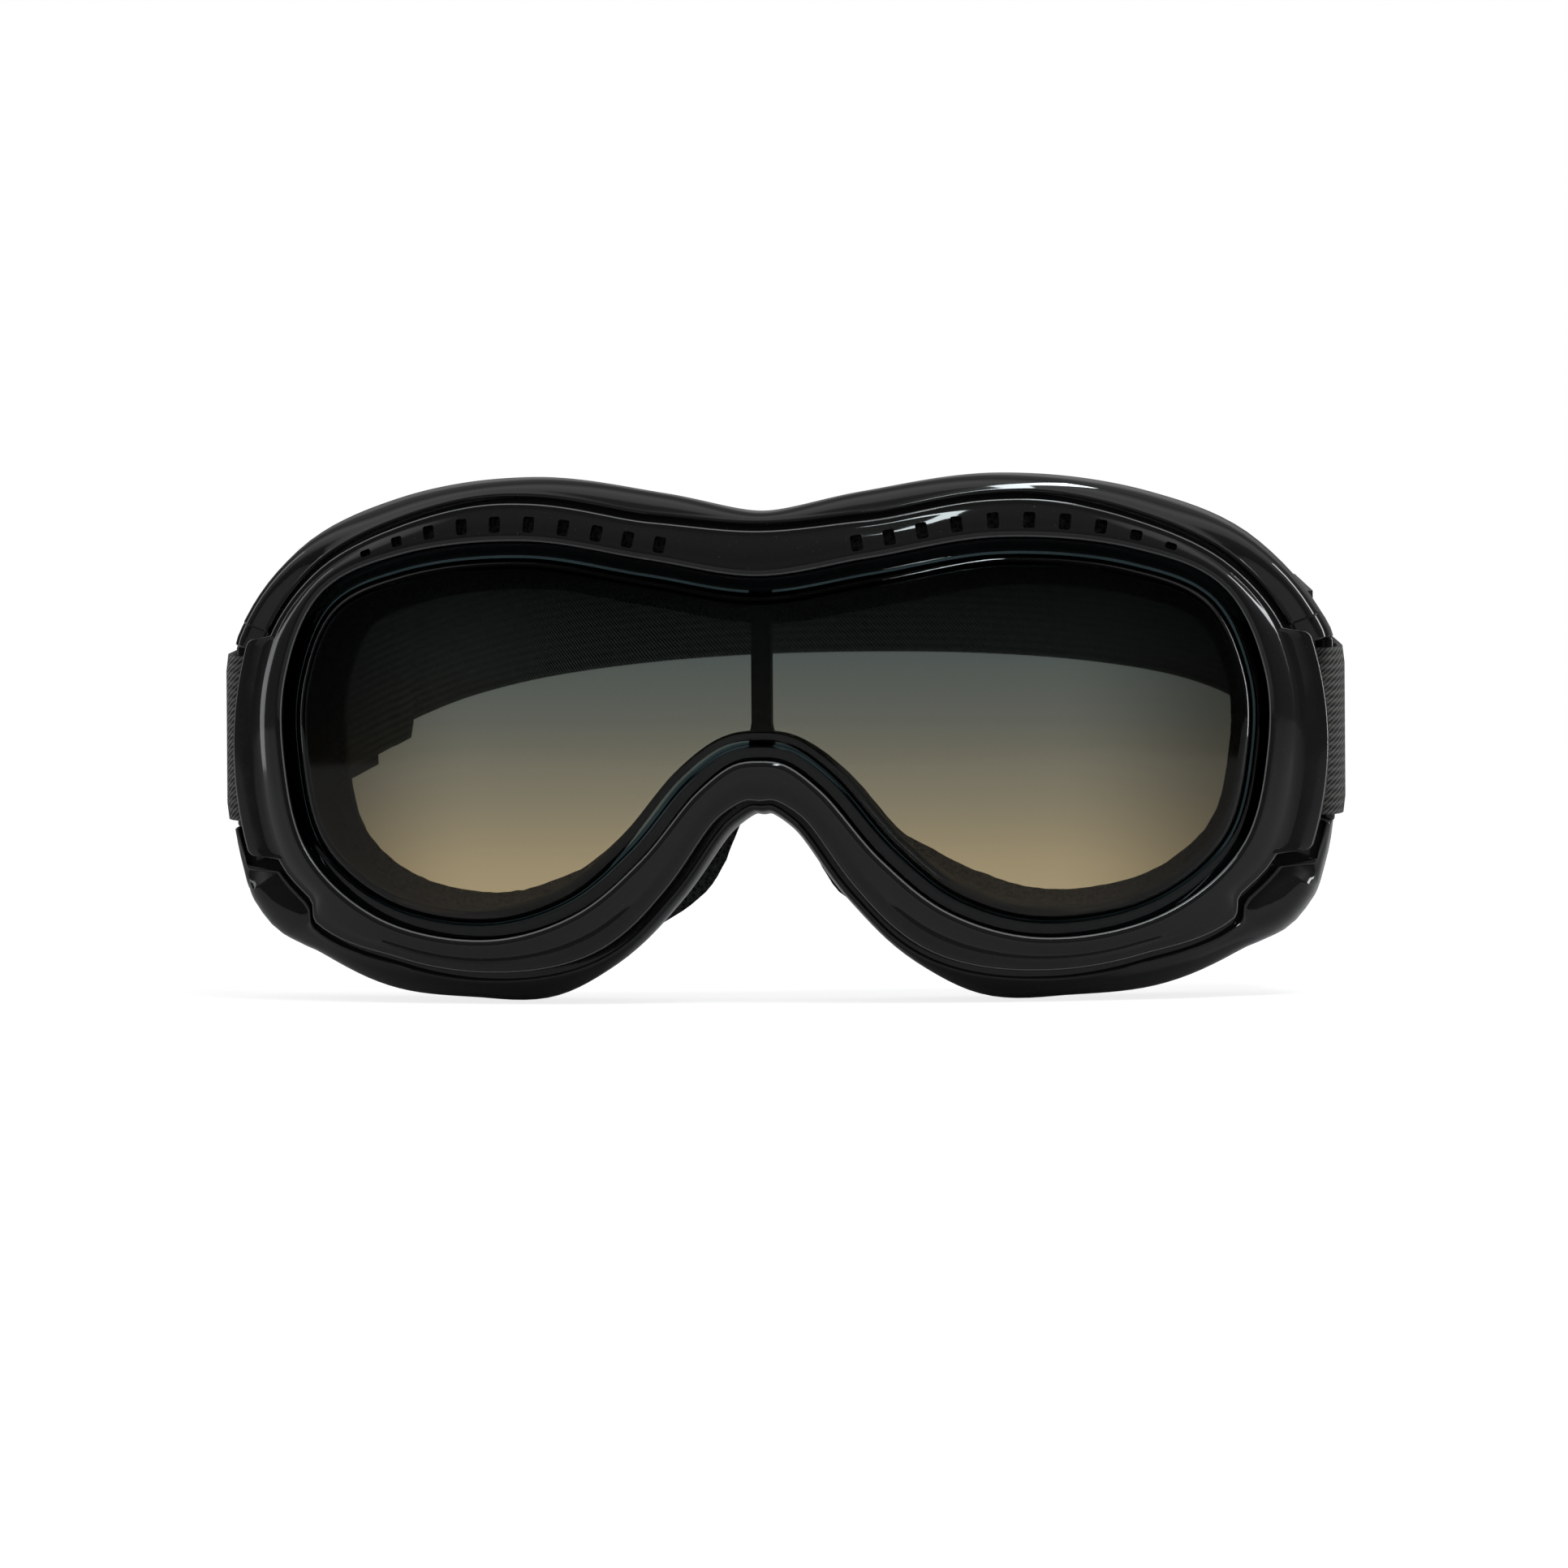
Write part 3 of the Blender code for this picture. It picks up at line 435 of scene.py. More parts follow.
def shellSection(place):
    full = eased(shell["band"], place)
    widest = full + (shell["recessWidth"] - full) * within(place, recessStart, recessEnd)
    under = rise(place, *(wingStart - gap for gap in shell["wingGap"]))
    under *= 1 - rise(place, recessEnd, recessEnd + shell["lipTurn"])
    lipDepth = shell["seat"] - shell["lip"] + (shell["lip"] - shell["lipLeft"]) * under
    lip = lipEdge(place, widest)
    out = (rim.offset(place, widest) - lip).normalized()
    seatRoot = min(eased(bezel["band"], place) - shell["seatOverlap"], widest - shell["sideWall"])
    back = widest - shell["draft"]
    ledge = eased(shell["ledge"], place)
    low = min(shell["lipRound"], (shell["seat"] - lipDepth) / 2)
    lobe = eased(shell["lobe"], place)

    def at(width):
        return rim.offset(place, width)

    def blunted(key):
        return shell[key][0] + shell[key][1] * lobe

    points = [onSweep(at(shell["seatInner"]), shell["seat"]), onSweep(lip, shell["seat"])]
    for across, down in (*shell["lipSteps"], (shell["lipTop"], 1.0)):
        points.append(onSweep(lip + out * across, lipDepth + low * down))
    start, peak = points[-1], onRear(at(widest), shell["peakDepth"])
    end = onRear(at(back), shell["rearDepth"])
    shoulder = lip + out * shell["lipTop"]
    drop = peak.y - start.y
    for k in range(1, 11):
        t = k / 10
        share = hermite(0.0, 1.0, blunted("spreadLeave"), 0.0, t)
        depth = hermite(start.y, peak.y, drop * blunted("depthLeave"), drop * blunted("depthArrive"), t)
        edge = shoulder.lerp(at(widest), share)
        points.append(Vector((edge.x, depth, edge.y)))
    for k in range(1, 7):
        t = k / 7
        width = hermite(widest, back, 0.0, -shell["draft"] * shell["draftEase"], t)
        edge = at(width)
        points.append(Vector((edge.x, peak.y + (end.y - peak.y) * t, edge.y)))
    points += [
        onRear(at(back), shell["rearDepth"] - shell["rearRound"]),
        onRear(at(back - 0.3 * shell["rearRound"]), shell["rearDepth"] - 0.3 * shell["rearRound"]),
        onRear(at(back - shell["rearRound"]), shell["rearDepth"]),
        onRear(at(ledge), shell["rearDepth"]),
        onRear(at(ledge), shell["rearDepth"] - shell["wall"]),
        onRear(at(back - shell["wall"]), shell["rearDepth"] - shell["wall"]),
        onRear(at(widest - shell["sideWall"]), shell["peakDepth"] + shell["peakInner"]),
        onSweep(at(seatRoot), shell["seat"] + shell["wall"]),
        onSweep(at(shell["seatInner"]), shell["seat"] + shell["wall"]),
    ]
    return points


shellPlaces = makePlaces([
    wingStart - sum(shell["wingGap"]) / 2, recessStart, recessEnd + shell["lipTurn"] / 2,
    lipEnd, outline["lowSide"],
])
rearShell = rimRing("rearShell", shellSection, shellPlaces, shell["highlightBands"])
print("shell shaped")


# Brow vents, cut through the bezel and the shell's seat behind it
vents = {
    "count": 10,
    "pitch": 5.1,
    "width": 1.8,
    "height": 2.5,
    "start": 16.5,
    "inner": 4.4,
    "depth": 10.8,
    "round": 0.35,
    "wallGap": 0.3,
}


def cutVents(targets):
    bpy.ops.object.select_all(action="DESELECT")
    slots = []
    for k in range(vents["count"]):
        place = (vents["start"] + k * vents["pitch"]) / rim.length
        widest = eased(bezel["band"], place) - bezel["wall"] - vents["wallGap"]
        outer = min(vents["inner"] + vents["height"], widest)
        middle = rim.offset(place, (vents["inner"] + outer) / 2)
        direction = rim.outward(place)
        for side in (1, -1):
            bpy.ops.mesh.primitive_cube_add(size=1.0)
            slot = bpy.context.active_object
            slot.scale = (vents["width"] * mm, vents["depth"] * mm, (outer - vents["inner"]) * mm)
            bpy.ops.object.transform_apply(location=False, rotation=False, scale=True)
            addRound(slot, vents["round"])
            applyModifiers(slot)
            slot.rotation_euler = (0.0, side * math.atan2(direction.x, direction.y), 0.0)
            slot.location = Vector((side * middle.x, sweep(middle.x) + shell["seat"] / 2, middle.y)) * mm
            slots.append(slot)
    selectOnly(*slots)
    bpy.ops.object.transform_apply(location=True, rotation=True, scale=True)
    bpy.ops.object.join()
    cutter = bpy.context.active_object
    for target in targets:
        addBoolean(target, cutter, "DIFFERENCE")
        applyModifiers(target)
        smoothShade(target.data)
    bpy.data.objects.remove(cutter)


cutVents([frontBezel, rearShell])
print("vents cut")


# Lens: a stepped window with its flange under the bezel
lens = {
    "section": (
        (-1.3, 0.0), (-0.85, 0.0), (-0.6, 0.06), (-0.36, 0.24), (-0.14, 0.46), (0.08, 0.70), (0.32, 0.98),
        (0.56, 1.28), (0.78, 1.56), (1.0, 1.74), (1.5, 1.8), (3.6, 1.8), (3.8, 2.0), (3.8, 3.6), (3.6, 3.8),
        (-0.2, 3.8), (-0.5, 3.6), (-1.2, 2.3), (-1.5, 2.05), (-1.8, 2.0), (-2.3, 2.0),
    ),
    "rimBands": (5, 16),  # the bands of the section that take the darker rim finish
    "smoothAngle": 50.0,
}


def lensSection(place):
    return [onSweep(rim.offset(place, width), depth) for width, depth in lens["section"]]


def fillWindow(mesh, ring):
    side = max(range(len(ring)), key=lambda k: ring[k].co.x)
    other = min(range(len(ring)), key=lambda k: ring[k].co.x)
    lower = ring[side : other + 1]
    upper = ring[side::-1] + ring[: other - 1 : -1]
    i = j = 0
    while i < len(lower) - 1 or j < len(upper) - 1:
        nextLow = lower[i + 1].co.x if i < len(lower) - 1 else -math.inf
        nextUp = upper[j + 1].co.x if j < len(upper) - 1 else -math.inf
        if nextLow >= nextUp:
            face = (lower[i], lower[i + 1], upper[j])
            i += 1
        else:
            face = (lower[i], upper[j + 1], upper[j])
            j += 1
        if len(set(face)) == 3:
            mesh.faces.new(face)


def makeLens():
    mesh = bmesh.new()
    columns = rimColumns(mesh, lensSection, makePlaces([]))
    bridge(mesh, columns, True, False)
    bands = len(columns[0]) - 1
    for k, face in enumerate(mesh.faces):
        face.material_index = int(lens["rimBands"][0] <= k % bands <= lens["rimBands"][1])
    fillWindow(mesh, [column[0] for column in columns])
    fillWindow(mesh, [column[-1] for column in columns])
    return asObject("smokeLens", mesh, lens["smoothAngle"])


smokeLens = makeLens()
print("lens shaped")


# Foam ring at the back of the shell
foam = {
    "band": (
        (0.00, 10.8), (0.22, 10.5), (0.36, 9.0), (0.43, 4.2), (0.52, 4.2), (0.58, 11.0), (0.70, 9.6),
        (0.80, 10.3), (0.87, 12.6), (0.91, 11.0), (0.96, 8.8), (1.00, 8.8),
    ),
    "inner": ((0.00, -4.0), (0.55, -4.0), (0.78, -3.8), (0.84, -2.2), (0.88, -0.3), (1.00, 0.0)),
    "front": 22.3,
    "depth": 12.0,
    "draw": 1.1,
    "crown": 2.4,
    "crownShape": (0.6, 0.7),
    "roughness": 0.28,
    "grain": (1.1, 2.3),
    "grainShare": 0.6,
}


def squared(value, power):
    return math.copysign(abs(value) ** power, value)


def foamSection(place):
    outer, inner = eased(foam["band"], place), eased(foam["inner"], place)
    front, back = foam["front"], foam["front"] + foam["depth"]
    shoulder = back - foam["crown"]
    wide, tall = foam["crownShape"]
    points = []
    for k in range(7):
        points.append((inner + (outer - inner) * k / 6, front))
    for k in range(1, 6):
        t = k / 6
        points.append((outer - foam["draw"] * math.sin(t * math.pi / 2), front + (shoulder - front) * t))
    half = (outer - inner) / 2 - foam["draw"]
    for k in range(13):
        angle = math.pi * k / 12
        bulge = squared(math.cos(angle), wide) * half
        points.append(((outer + inner) / 2 + bulge, shoulder + foam["crown"] * math.sin(angle) ** tall))
    for k in range(5, 0, -1):
        t = k / 6
        points.append((inner + foam["draw"] * math.sin(t * math.pi / 2), front + (shoulder - front) * t))
    return [onRear(rim.offset(place, width), depth) for width, depth in points]


def roughen(mesh, amount):
    bmesh.ops.recalc_face_normals(mesh, faces=mesh.faces)
    mesh.normal_update()
    moves = []
    for vert in mesh.verts:
        grain = sum(noise.noise(vert.co * scale) * foam["grainShare"] for scale in foam["grain"])
        moves.append(vert.normal * grain * amount)
    for vert, move in zip(mesh.verts, moves):
        vert.co += move


def makeFoam():
    mesh = bmesh.new()
    bridge(mesh, rimColumns(mesh, foamSection, makePlaces([])), True, True)
    roughen(mesh, foam["roughness"])
    return asObject("foamRing", mesh, 180.0)


foamRing = makeFoam()
print("foam shaped")


# Brow filters: foam strips behind the vents
filters = {
    "gap": 0.3,
    "round": 0.5,
    "end": 1.2,
    "endHeight": 0.3,
    "stations": 90,
    "around": 24,
    "roughness": 0.1,
}


def filterSection(place, toEnd):
    inner, outer = vents["inner"], eased(bezel["band"], place) - bezel["wall"] - filters["gap"]
    front, back = bezel["seatDepth"] + filters["gap"], shell["seat"] - filters["gap"]
    t = min(toEnd / filters["end"], 1.0)
    full = filters["endHeight"] + (1 - filters["endHeight"]) * math.sqrt(1 - (1 - t) ** 2)
    points = []
    for k in range(filters["around"]):
        turn = 2 * math.pi * k / filters["around"]
        across = squared(math.cos(turn), filters["round"]) * (outer - inner) / 2 * full
        deep = squared(math.sin(turn), filters["round"]) * (back - front) / 2 * full
        points.append(onSweep(rim.offset(place, (inner + outer) / 2 + across), (front + back) / 2 + deep))
    return points


def makeFilter(name, side):
    start = vents["start"] - vents["pitch"]
    length = (vents["count"] + 1) * vents["pitch"]
    mesh = bmesh.new()
    columns = []
    for k in range(filters["stations"] + 1):
        along = length * k / filters["stations"]
        section = filterSection((start + along) / rim.length, min(along, length - along))
        columns.append([mesh.verts.new((side * x, y, z)) for x, y, z in section])
    bridge(mesh, columns, False, True)
    mesh.faces.new(columns[0])
    mesh.faces.new(columns[-1])
    roughen(mesh, filters["roughness"])
    return asObject(name, mesh, 180.0)


filterLeft = makeFilter("browFilterLeft", 1)
filterRight = makeFilter("browFilterRight", -1)
print("brow filters shaped")


# Strap: one webbing from the inner ply on one side, round both bars, to the inner ply on the other
strap = {
    "halfWidth": 13.0,
    "thickness": 1.4,
    "rise": 9.0,
    "lean": 9.6,
    "cut": 28.0,
    "straight": 85.0,
    "back": ((71.6, 102.0), (64.8, 126.0), (53.5, 147.0), (37.0, 162.6), (19.0, 170.8), (0.0, 173.0)),
    "tailEnd": 78.0,
    "hem": 9.0,
    "barX": 86.3,
    "barSetback": 11.4,
    "barZ": 0.5,
    "ply": 2.5,
    "rows": 10,
    "step": 2.0,
    "foldSteps": 16,
    "backSteps": 9,
    "hemRise": 0.55,
    "hemFade": 0.6,
    "edgeThin": 0.55,
    "mapGap": 40.0,  # from one face to the other on the map of the webbing
    "blend": (5.0, 27.0),
    "smoothAngle": 60.0,
}
barY = sweep(strap["barX"]) + strap["barSetback"]
riseAngle, leanAngle = math.radians(strap["rise"]), math.radians(strap["lean"])
runWay = Vector((-math.sin(leanAngle), math.cos(leanAngle)))
facing = Vector((math.cos(leanAngle), math.sin(leanAngle)))


def straightRun(behind, shift):
    start = Vector((strap["barX"], 0.0)) + facing * shift
    return start + runWay * ((behind - start.y) / runWay.y)


def tilted(x, behind, across):
    y = barY + behind * math.cos(riseAngle) - across * math.sin(riseAngle)
    z = strap["barZ"] + behind * math.sin(riseAngle) + across * math.cos(riseAngle)
    return Vector((x, y, z))


def strapPlan():
    ply, step = strap["ply"], strap["step"]
    tail = [straightRun(strap["tailEnd"] - k * step, -ply) for k in range(int(strap["tailEnd"] / step))]
    fold = []
    for k in range(strap["foldSteps"] + 1):
        angle = math.pi - math.pi * k / strap["foldSteps"] - leanAngle
        fold.append(Vector((strap["barX"], 0.0)) + Vector((math.cos(angle), -math.sin(angle))) * ply)
    run = [straightRun(k * step, ply) for k in range(1, int(strap["straight"] / step))]
    knots = [tuple(straightRun(behind, ply)) for behind in (strap["cut"], strap["straight"])]
    back = smoothCurve([*knots, *strap["back"]], strap["backSteps"])[strap["backSteps"]:]
    half = [p for p in tail if p.y > 1.0] + fold + run + back
    other = [Vector((-p.x, p.y)) for p in reversed(half[:-1])]
    return half + other


def strapPoint(x, behind, across, share):
    z = strap["barZ"] + across / math.cos(riseAngle) + behind * math.tan(riseAngle)
    return Vector((x, barY + behind, z)).lerp(tilted(x, behind, across), share)


def makeStrap():
    path = strapPlan()
    runs = [0.0]
    for start, end in zip(path, path[1:]):
        runs.append(runs[-1] + (end - start).length)
    length = runs[-1]
    mesh = bmesh.new()
    uvs = mesh.loops.layers.uv.new("webbing")
    rows = [(2 * k / strap["rows"] - 1) for k in range(strap["rows"] + 1)]
    columns, places = [], {}
    for k, point in enumerate(path):
        along = (path[min(k + 1, len(path) - 1)] - path[max(k - 1, 0)]).normalized()
        normal = Vector((along.y, -along.x))
        share = rise(point.y, 0.0, strap["cut"])
        toEnd = min(runs[k], length - runs[k])
        hem = 1.0 + strap["hemRise"] * (1 - rise(toEnd, strap["hem"] - strap["hemFade"], strap["hem"]))
        column = []
        for face in (-1, 1):
            for row in rows if face < 0 else reversed(rows):
                edge = strap["edgeThin"] if abs(row) > 0.99 else 1.0
                half = strap["thickness"] / 2 * edge * (hem if face < 0 else 1.0)
                spot = point + normal * half * -face
                across = row * strap["halfWidth"]
                vert = mesh.verts.new(strapPoint(spot.x, spot.y, across, share))
                places[vert] = (runs[k] * mm, (across + (strap["mapGap"] if face > 0 else 0.0)) * mm)
                column.append(vert)
        columns.append(column)
    bridge(mesh, columns, False, True)
    for column in (columns[0], columns[-1]):
        for k in range(strap["rows"]):
            mesh.faces.new((column[k], column[k + 1], column[-2 - k], column[-1 - k]))
    for face in mesh.faces:
        for loop in face.loops:
            loop[uvs].uv = places[loop.vert]
    return asObject("strapWebbing", mesh, strap["smoothAngle"]), length


strapWebbing, strapLength = makeStrap()
print("strap shaped, cut length", round(strapLength, 1), "mm")


# Ears and bars that hold the strap, part of the rear shell
ears = {
    "clear": 28.4,
    "thickness": 2.5,
    "depth": 5.4,
    "outside": 0.6,  # past the bar's middle
    "root": 3.2,
    "bar": 3.0,
    "barSeat": 0.5,
    "round": 0.7,
    "smoothAngle": 50.0,
}


def earProfile(end):
    inside = outline["halfWidth"] + shell["recessWidth"] - ears["root"]
    outside = strap["barX"] + ears["outside"]
    near = strap["barZ"] + end * ears["clear"] / 2
    far = near + end * ears["thickness"]
    return [(inside, near), (outside, near), (outside, far), (inside, far)]


def makeEars():
    made = []
    for side in (1, -1):
        for end in (1, -1):
            mesh = bmesh.new()
            sides = []
            for y in (barY - ears["depth"] / 2, barY + ears["depth"] / 2):
                sides.append([mesh.verts.new((side * x, y, z)) for x, z in earProfile(end)])
            bridge(mesh, sides, False, True)
            for loop in sides:
                mesh.faces.new(loop)
            made.append(asObject("ear", mesh))
        radius, length = ears["bar"] / 2 * mm, (ears["clear"] + 2 * ears["barSeat"]) * mm
        place = Vector((side * strap["barX"], barY, strap["barZ"])) * mm
        bpy.ops.mesh.primitive_cylinder_add(vertices=32, radius=radius, depth=length, location=place)
        made.append(bpy.context.active_object)
    for piece in made:
        selectOnly(piece)
        bpy.ops.object.transform_apply(location=True, rotation=True, scale=True)
        addRound(piece, ears["round"])
        applyModifiers(piece)
        smoothShade(piece.data, ears["smoothAngle"])
    selectOnly(rearShell, *made)
    bpy.ops.object.join()


makeEars()
print("ears and bars joined to the shell")


# Three-bar sliders on the strap
slider = {
    "place": 56.0,
    "length": 20.0,
    "rail": 2.0,
    "endBar": 3.0,
    "midBar": 4.0,
    "plate": 1.6,
    "gap": 0.4,
    "sideGap": 0.5,
    "lap": 1.0,
    "round": 0.5,
    "smoothAngle": 40.0,
}


def makeSlider(name, side):
    middle = straightRun(slider["place"], strap["ply"])
    place = tilted(side * middle.x, middle.y, 0.0) * mm
    turn = Matrix.Rotation(riseAngle, 4, "X") @ Matrix.Rotation(side * leanAngle, 4, "Z")
    over = strap["thickness"] / 2 + slider["gap"]
    top = over + slider["plate"]
    under = 2 * strap["ply"] - over
    rail = strap["halfWidth"] + slider["sideGap"]
    reach = rail + slider["lap"]
    end = slider["length"] / 2
    bars = (
        ((-under, top), (-end, end), (rail, rail + slider["rail"])),
        ((-under, top), (-end, end), (-rail - slider["rail"], -rail)),
        ((over, top), (-end, slider["endBar"] - end), (-reach, reach)),
        ((over, top), (end - slider["endBar"], end), (-reach, reach)),
        ((-under, -over), (-slider["midBar"] / 2, slider["midBar"] / 2), (-reach, reach)),
    )
    made = []
    for spans in bars:
        low = Vector([min(a, b) for a, b in spans])
        high = Vector([max(a, b) for a, b in spans])
        bpy.ops.object.select_all(action="DESELECT")
        bpy.ops.mesh.primitive_cube_add(size=1.0, location=(low + high) / 2 * mm)
        bar = bpy.context.active_object
        bar.scale = (high - low) * mm
        bpy.ops.object.transform_apply(location=True, rotation=True, scale=True)
        made.append(bar)
    body = made[0]
    for other in made[1:]:
        addBoolean(body, other, "UNION")
    addRound(body, slider["round"])
    applyModifiers(body)
    for other in made[1:]:
        bpy.data.objects.remove(other)
    mirror = Matrix.Diagonal((side, 1.0, 1.0, 1.0))
    body.data.transform(Matrix.Translation(place) @ turn @ mirror)
    if side < 0:
        body.data.flip_normals()
    smoothShade(body.data, slider["smoothAngle"])
    body.name = body.data.name = name
    return body


sliderLeft = makeSlider("sliderLeft", 1)
sliderRight = makeSlider("sliderRight", -1)
print("sliders shaped")


# Materials
def newMaterial(name, colour, roughness, **sockets):
    made = bpy.data.materials.new(name)
    made.use_nodes = True
    shader = made.node_tree.nodes["Principled BSDF"]
    shader.inputs["Base Color"].default_value = (*colour, 1.0)
    shader.inputs["Roughness"].default_value = roughness
    for socket, value in sockets.items():
        shader.inputs[socket.replace("_", " ")].default_value = value
    made.diffuse_color = (*colour, 1.0)
    return made, made.node_tree, shader


def addNode(tree, kind, **values):
    node = tree.nodes.new(kind)
    for key, value in values.items():
        if key in node.inputs:
            node.inputs[key].default_value = value
        else:
            setattr(node, key, value)
    return node


def addRamp(tree, source, stops):
    ramp = tree.nodes.new("ShaderNodeValToRGB")
    elements = ramp.color_ramp.elements
    while len(elements) < len(stops):
        elements.new(0.5)
    for element, (position, colour) in zip(elements, stops):
        element.position = position
        element.color = (*colour, 1.0) if len(colour) == 3 else colour
    tree.links.new(source, ramp.inputs["Fac"])
    return ramp.outputs["Color"]


def grey(value):
    return (value, value, value)


def fromObject(tree):
    return addNode(tree, "ShaderNodeTexCoord").outputs["Object"]


def addFrom(tree, kind, source, **values):  # a node that takes the source as its vector
    node = addNode(tree, kind, **values)
    tree.links.new(source, node.inputs["Vector"])
    return node.outputs


def addRange(tree, source, low, high, atLow=0.0, atHigh=1.0, **values):
    spread = addNode(tree, "ShaderNodeMapRange", **values)
    for name, value in (("From Min", low), ("From Max", high), ("To Min", atLow), ("To Max", atHigh)):
        spread.inputs[name].default_value = value
    tree.links.new(source, spread.inputs["Value"])
    return spread.outputs["Result"]


def scaleColour(tree, colour, share):
    scaled = addNode(tree, "ShaderNodeVectorMath", operation="SCALE")
    tree.links.new(colour, scaled.inputs[0])
    tree.links.new(share, scaled.inputs["Scale"])
    return scaled.outputs["Vector"]


def mixShaders(tree, share, first, second):
    mix = tree.nodes.new("ShaderNodeMixShader")
    for k, source in enumerate((share, first, second)):
        tree.links.new(source, mix.inputs[k])
    return mix.outputs[0]


def addBump(tree, shader, height, distance, strength=1.0):
    bump = addNode(tree, "ShaderNodeBump", Distance=distance, Strength=strength)
    tree.links.new(height, bump.inputs["Height"])
    tree.links.new(bump.outputs["Normal"], shader.inputs["Normal"])


def glossPlastic(name, colour, roughness):
    made, tree, shader = newMaterial(name, colour, roughness)
    place = fromObject(tree)
    haze = addFrom(tree, "ShaderNodeTexNoise", place, Scale=90.0, Detail=5.0, Roughness=0.6)
    dust = addFrom(tree, "ShaderNodeTexNoise", place, Scale=2600.0, Detail=2.0)
    flow = addFrom(tree, "ShaderNodeTexNoise", place, Scale=160.0, Detail=1.0)
    rough = addRamp(tree, haze["Fac"], ((0.35, grey(roughness * 0.8)), (0.75, grey(roughness * 1.7))))
    tree.links.new(rough, shader.inputs["Roughness"])
    specks = tuple(c + 0.03 for c in colour)
    tint = addRamp(tree, dust["Fac"], ((0.70, colour), (0.80, specks)))
    tree.links.new(tint, shader.inputs["Base Color"])
    addBump(tree, shader, flow["Fac"], 0.00002, 0.35)
    return made


def lensSmokeAndShade():
    made, tree, shader = newMaterial("lensSmokeAndShade", grey(0.4), 0.02, Transmission_Weight=1.0, IOR=1.49)
    parts = addFrom(tree, "ShaderNodeSeparateXYZ", fromObject(tree))
    # smoke tint with painted shade: dark at the top as painted shade of the brow and the dark inside, light
    # at the bottom
    tint = addRamp(tree, addRange(tree, parts["Z"], -0.028, 0.027), (
        (0.0, (0.34, 0.275, 0.155)),
        (0.14, (0.31, 0.25, 0.145)),
        (0.33, (0.20, 0.178, 0.12)),
        (0.55, (0.115, 0.12, 0.10)),
        (0.76, (0.072, 0.088, 0.083)),
        (0.88, (0.045, 0.056, 0.054)),
        (1.0, (0.016, 0.021, 0.021)),
    ))
    # painted shade: the tint darkens toward both sides
    across = addNode(tree, "ShaderNodeMath", operation="ABSOLUTE")
    tree.links.new(parts["X"], across.inputs[0])
    paintedSideShade = addRange(tree, across.outputs[0], 0.044, 0.076, 1.0, 0.35, interpolation_type="SMOOTHSTEP")
    tree.links.new(scaleColour(tree, tint, paintedSideShade), shader.inputs["Base Color"])
    return made


def lensRim():
    made, tree, shader = newMaterial("lensRim", (0.012, 0.02, 0.022), 0.03, Transmission_Weight=1.0, IOR=1.49)
    cloud = addFrom(tree, "ShaderNodeTexNoise", fromObject(tree), Scale=120.0, Detail=3.0)
    tint = addRamp(tree, cloud["Fac"], ((0.3, (0.014, 0.022, 0.024)), (0.7, (0.022, 0.034, 0.037))))
    tree.links.new(tint, shader.inputs["Base Color"])
    return made


def coarseFoam():
    made, tree, shader = newMaterial("coarseFoam", (0.03, 0.032, 0.032), 0.95, Specular_IOR_Level=0.15)
    place = fromObject(tree)
    cells = addFrom(tree, "ShaderNodeTexVoronoi", place, Scale=1500.0)
    patch = addFrom(tree, "ShaderNodeTexNoise", place, Scale=500.0, Detail=4.0)
    tint = addRamp(tree, cells["Distance"], ((0.1, (0.008, 0.009, 0.009)), (0.65, (0.055, 0.06, 0.058))))
    tree.links.new(tint, shader.inputs["Base Color"])
    both = addNode(tree, "ShaderNodeMath", operation="ADD")
    tree.links.new(cells["Distance"], both.inputs[0])
    tree.links.new(patch["Fac"], both.inputs[1])
    addBump(tree, shader, both.outputs[0], 0.0006, 1.0)
    return made


def wovenElastic():
    soft = {"Sheen_Weight": 0.15, "Specular_IOR_Level": 0.2}
    made, tree, shader = newMaterial("wovenElastic", (0.03, 0.031, 0.029), 0.88, **soft)
    uv = addNode(tree, "ShaderNodeUVMap", uv_map="webbing").outputs["UV"]
    turned = addFrom(tree, "ShaderNodeMapping", uv, Rotation=(0.0, 0.0, math.radians(42.0)))
    twill = addFrom(tree, "ShaderNodeTexWave", turned["Vector"], Scale=620.0, Distortion=1.2, Detail=2.0)
    ribs = addFrom(tree, "ShaderNodeTexWave", uv, Scale=235.0, Distortion=0.5, bands_direction="Y")
    both = addNode(tree, "ShaderNodeMix", Factor=0.35)
    tree.links.new(twill["Fac"], both.inputs[2])
    tree.links.new(ribs["Fac"], both.inputs[3])
    fuzz = addFrom(tree, "ShaderNodeTexNoise", uv, Scale=1800.0, Detail=3.0)
    tint = addRamp(tree, both.outputs[0], ((0.15, (0.026, 0.027, 0.025)), (0.85, (0.19, 0.195, 0.178))))
    mix = addNode(tree, "ShaderNodeMix", data_type="RGBA", blend_type="MULTIPLY")
    mix.inputs[0].default_value = 0.35
    tree.links.new(tint, mix.inputs[6])
    tree.links.new(fuzz["Color"], mix.inputs[7])
    tree.links.new(mix.outputs[2], shader.inputs["Base Color"])
    addBump(tree, shader, both.outputs[0], 0.0003, 1.0)
    return made


def softRubber():
    made, tree, shader = newMaterial("softRubber", grey(0.018), 0.6)
    grain = addFrom(tree, "ShaderNodeTexNoise", fromObject(tree), Scale=3000.0, Detail=2.0)
    rough = addRamp(tree, grain["Fac"], ((0.3, grey(0.45)), (0.7, grey(0.7))))
    tree.links.new(rough, shader.inputs["Roughness"])
    addBump(tree, shader, grain["Fac"], 0.00004, 0.6)
    return made


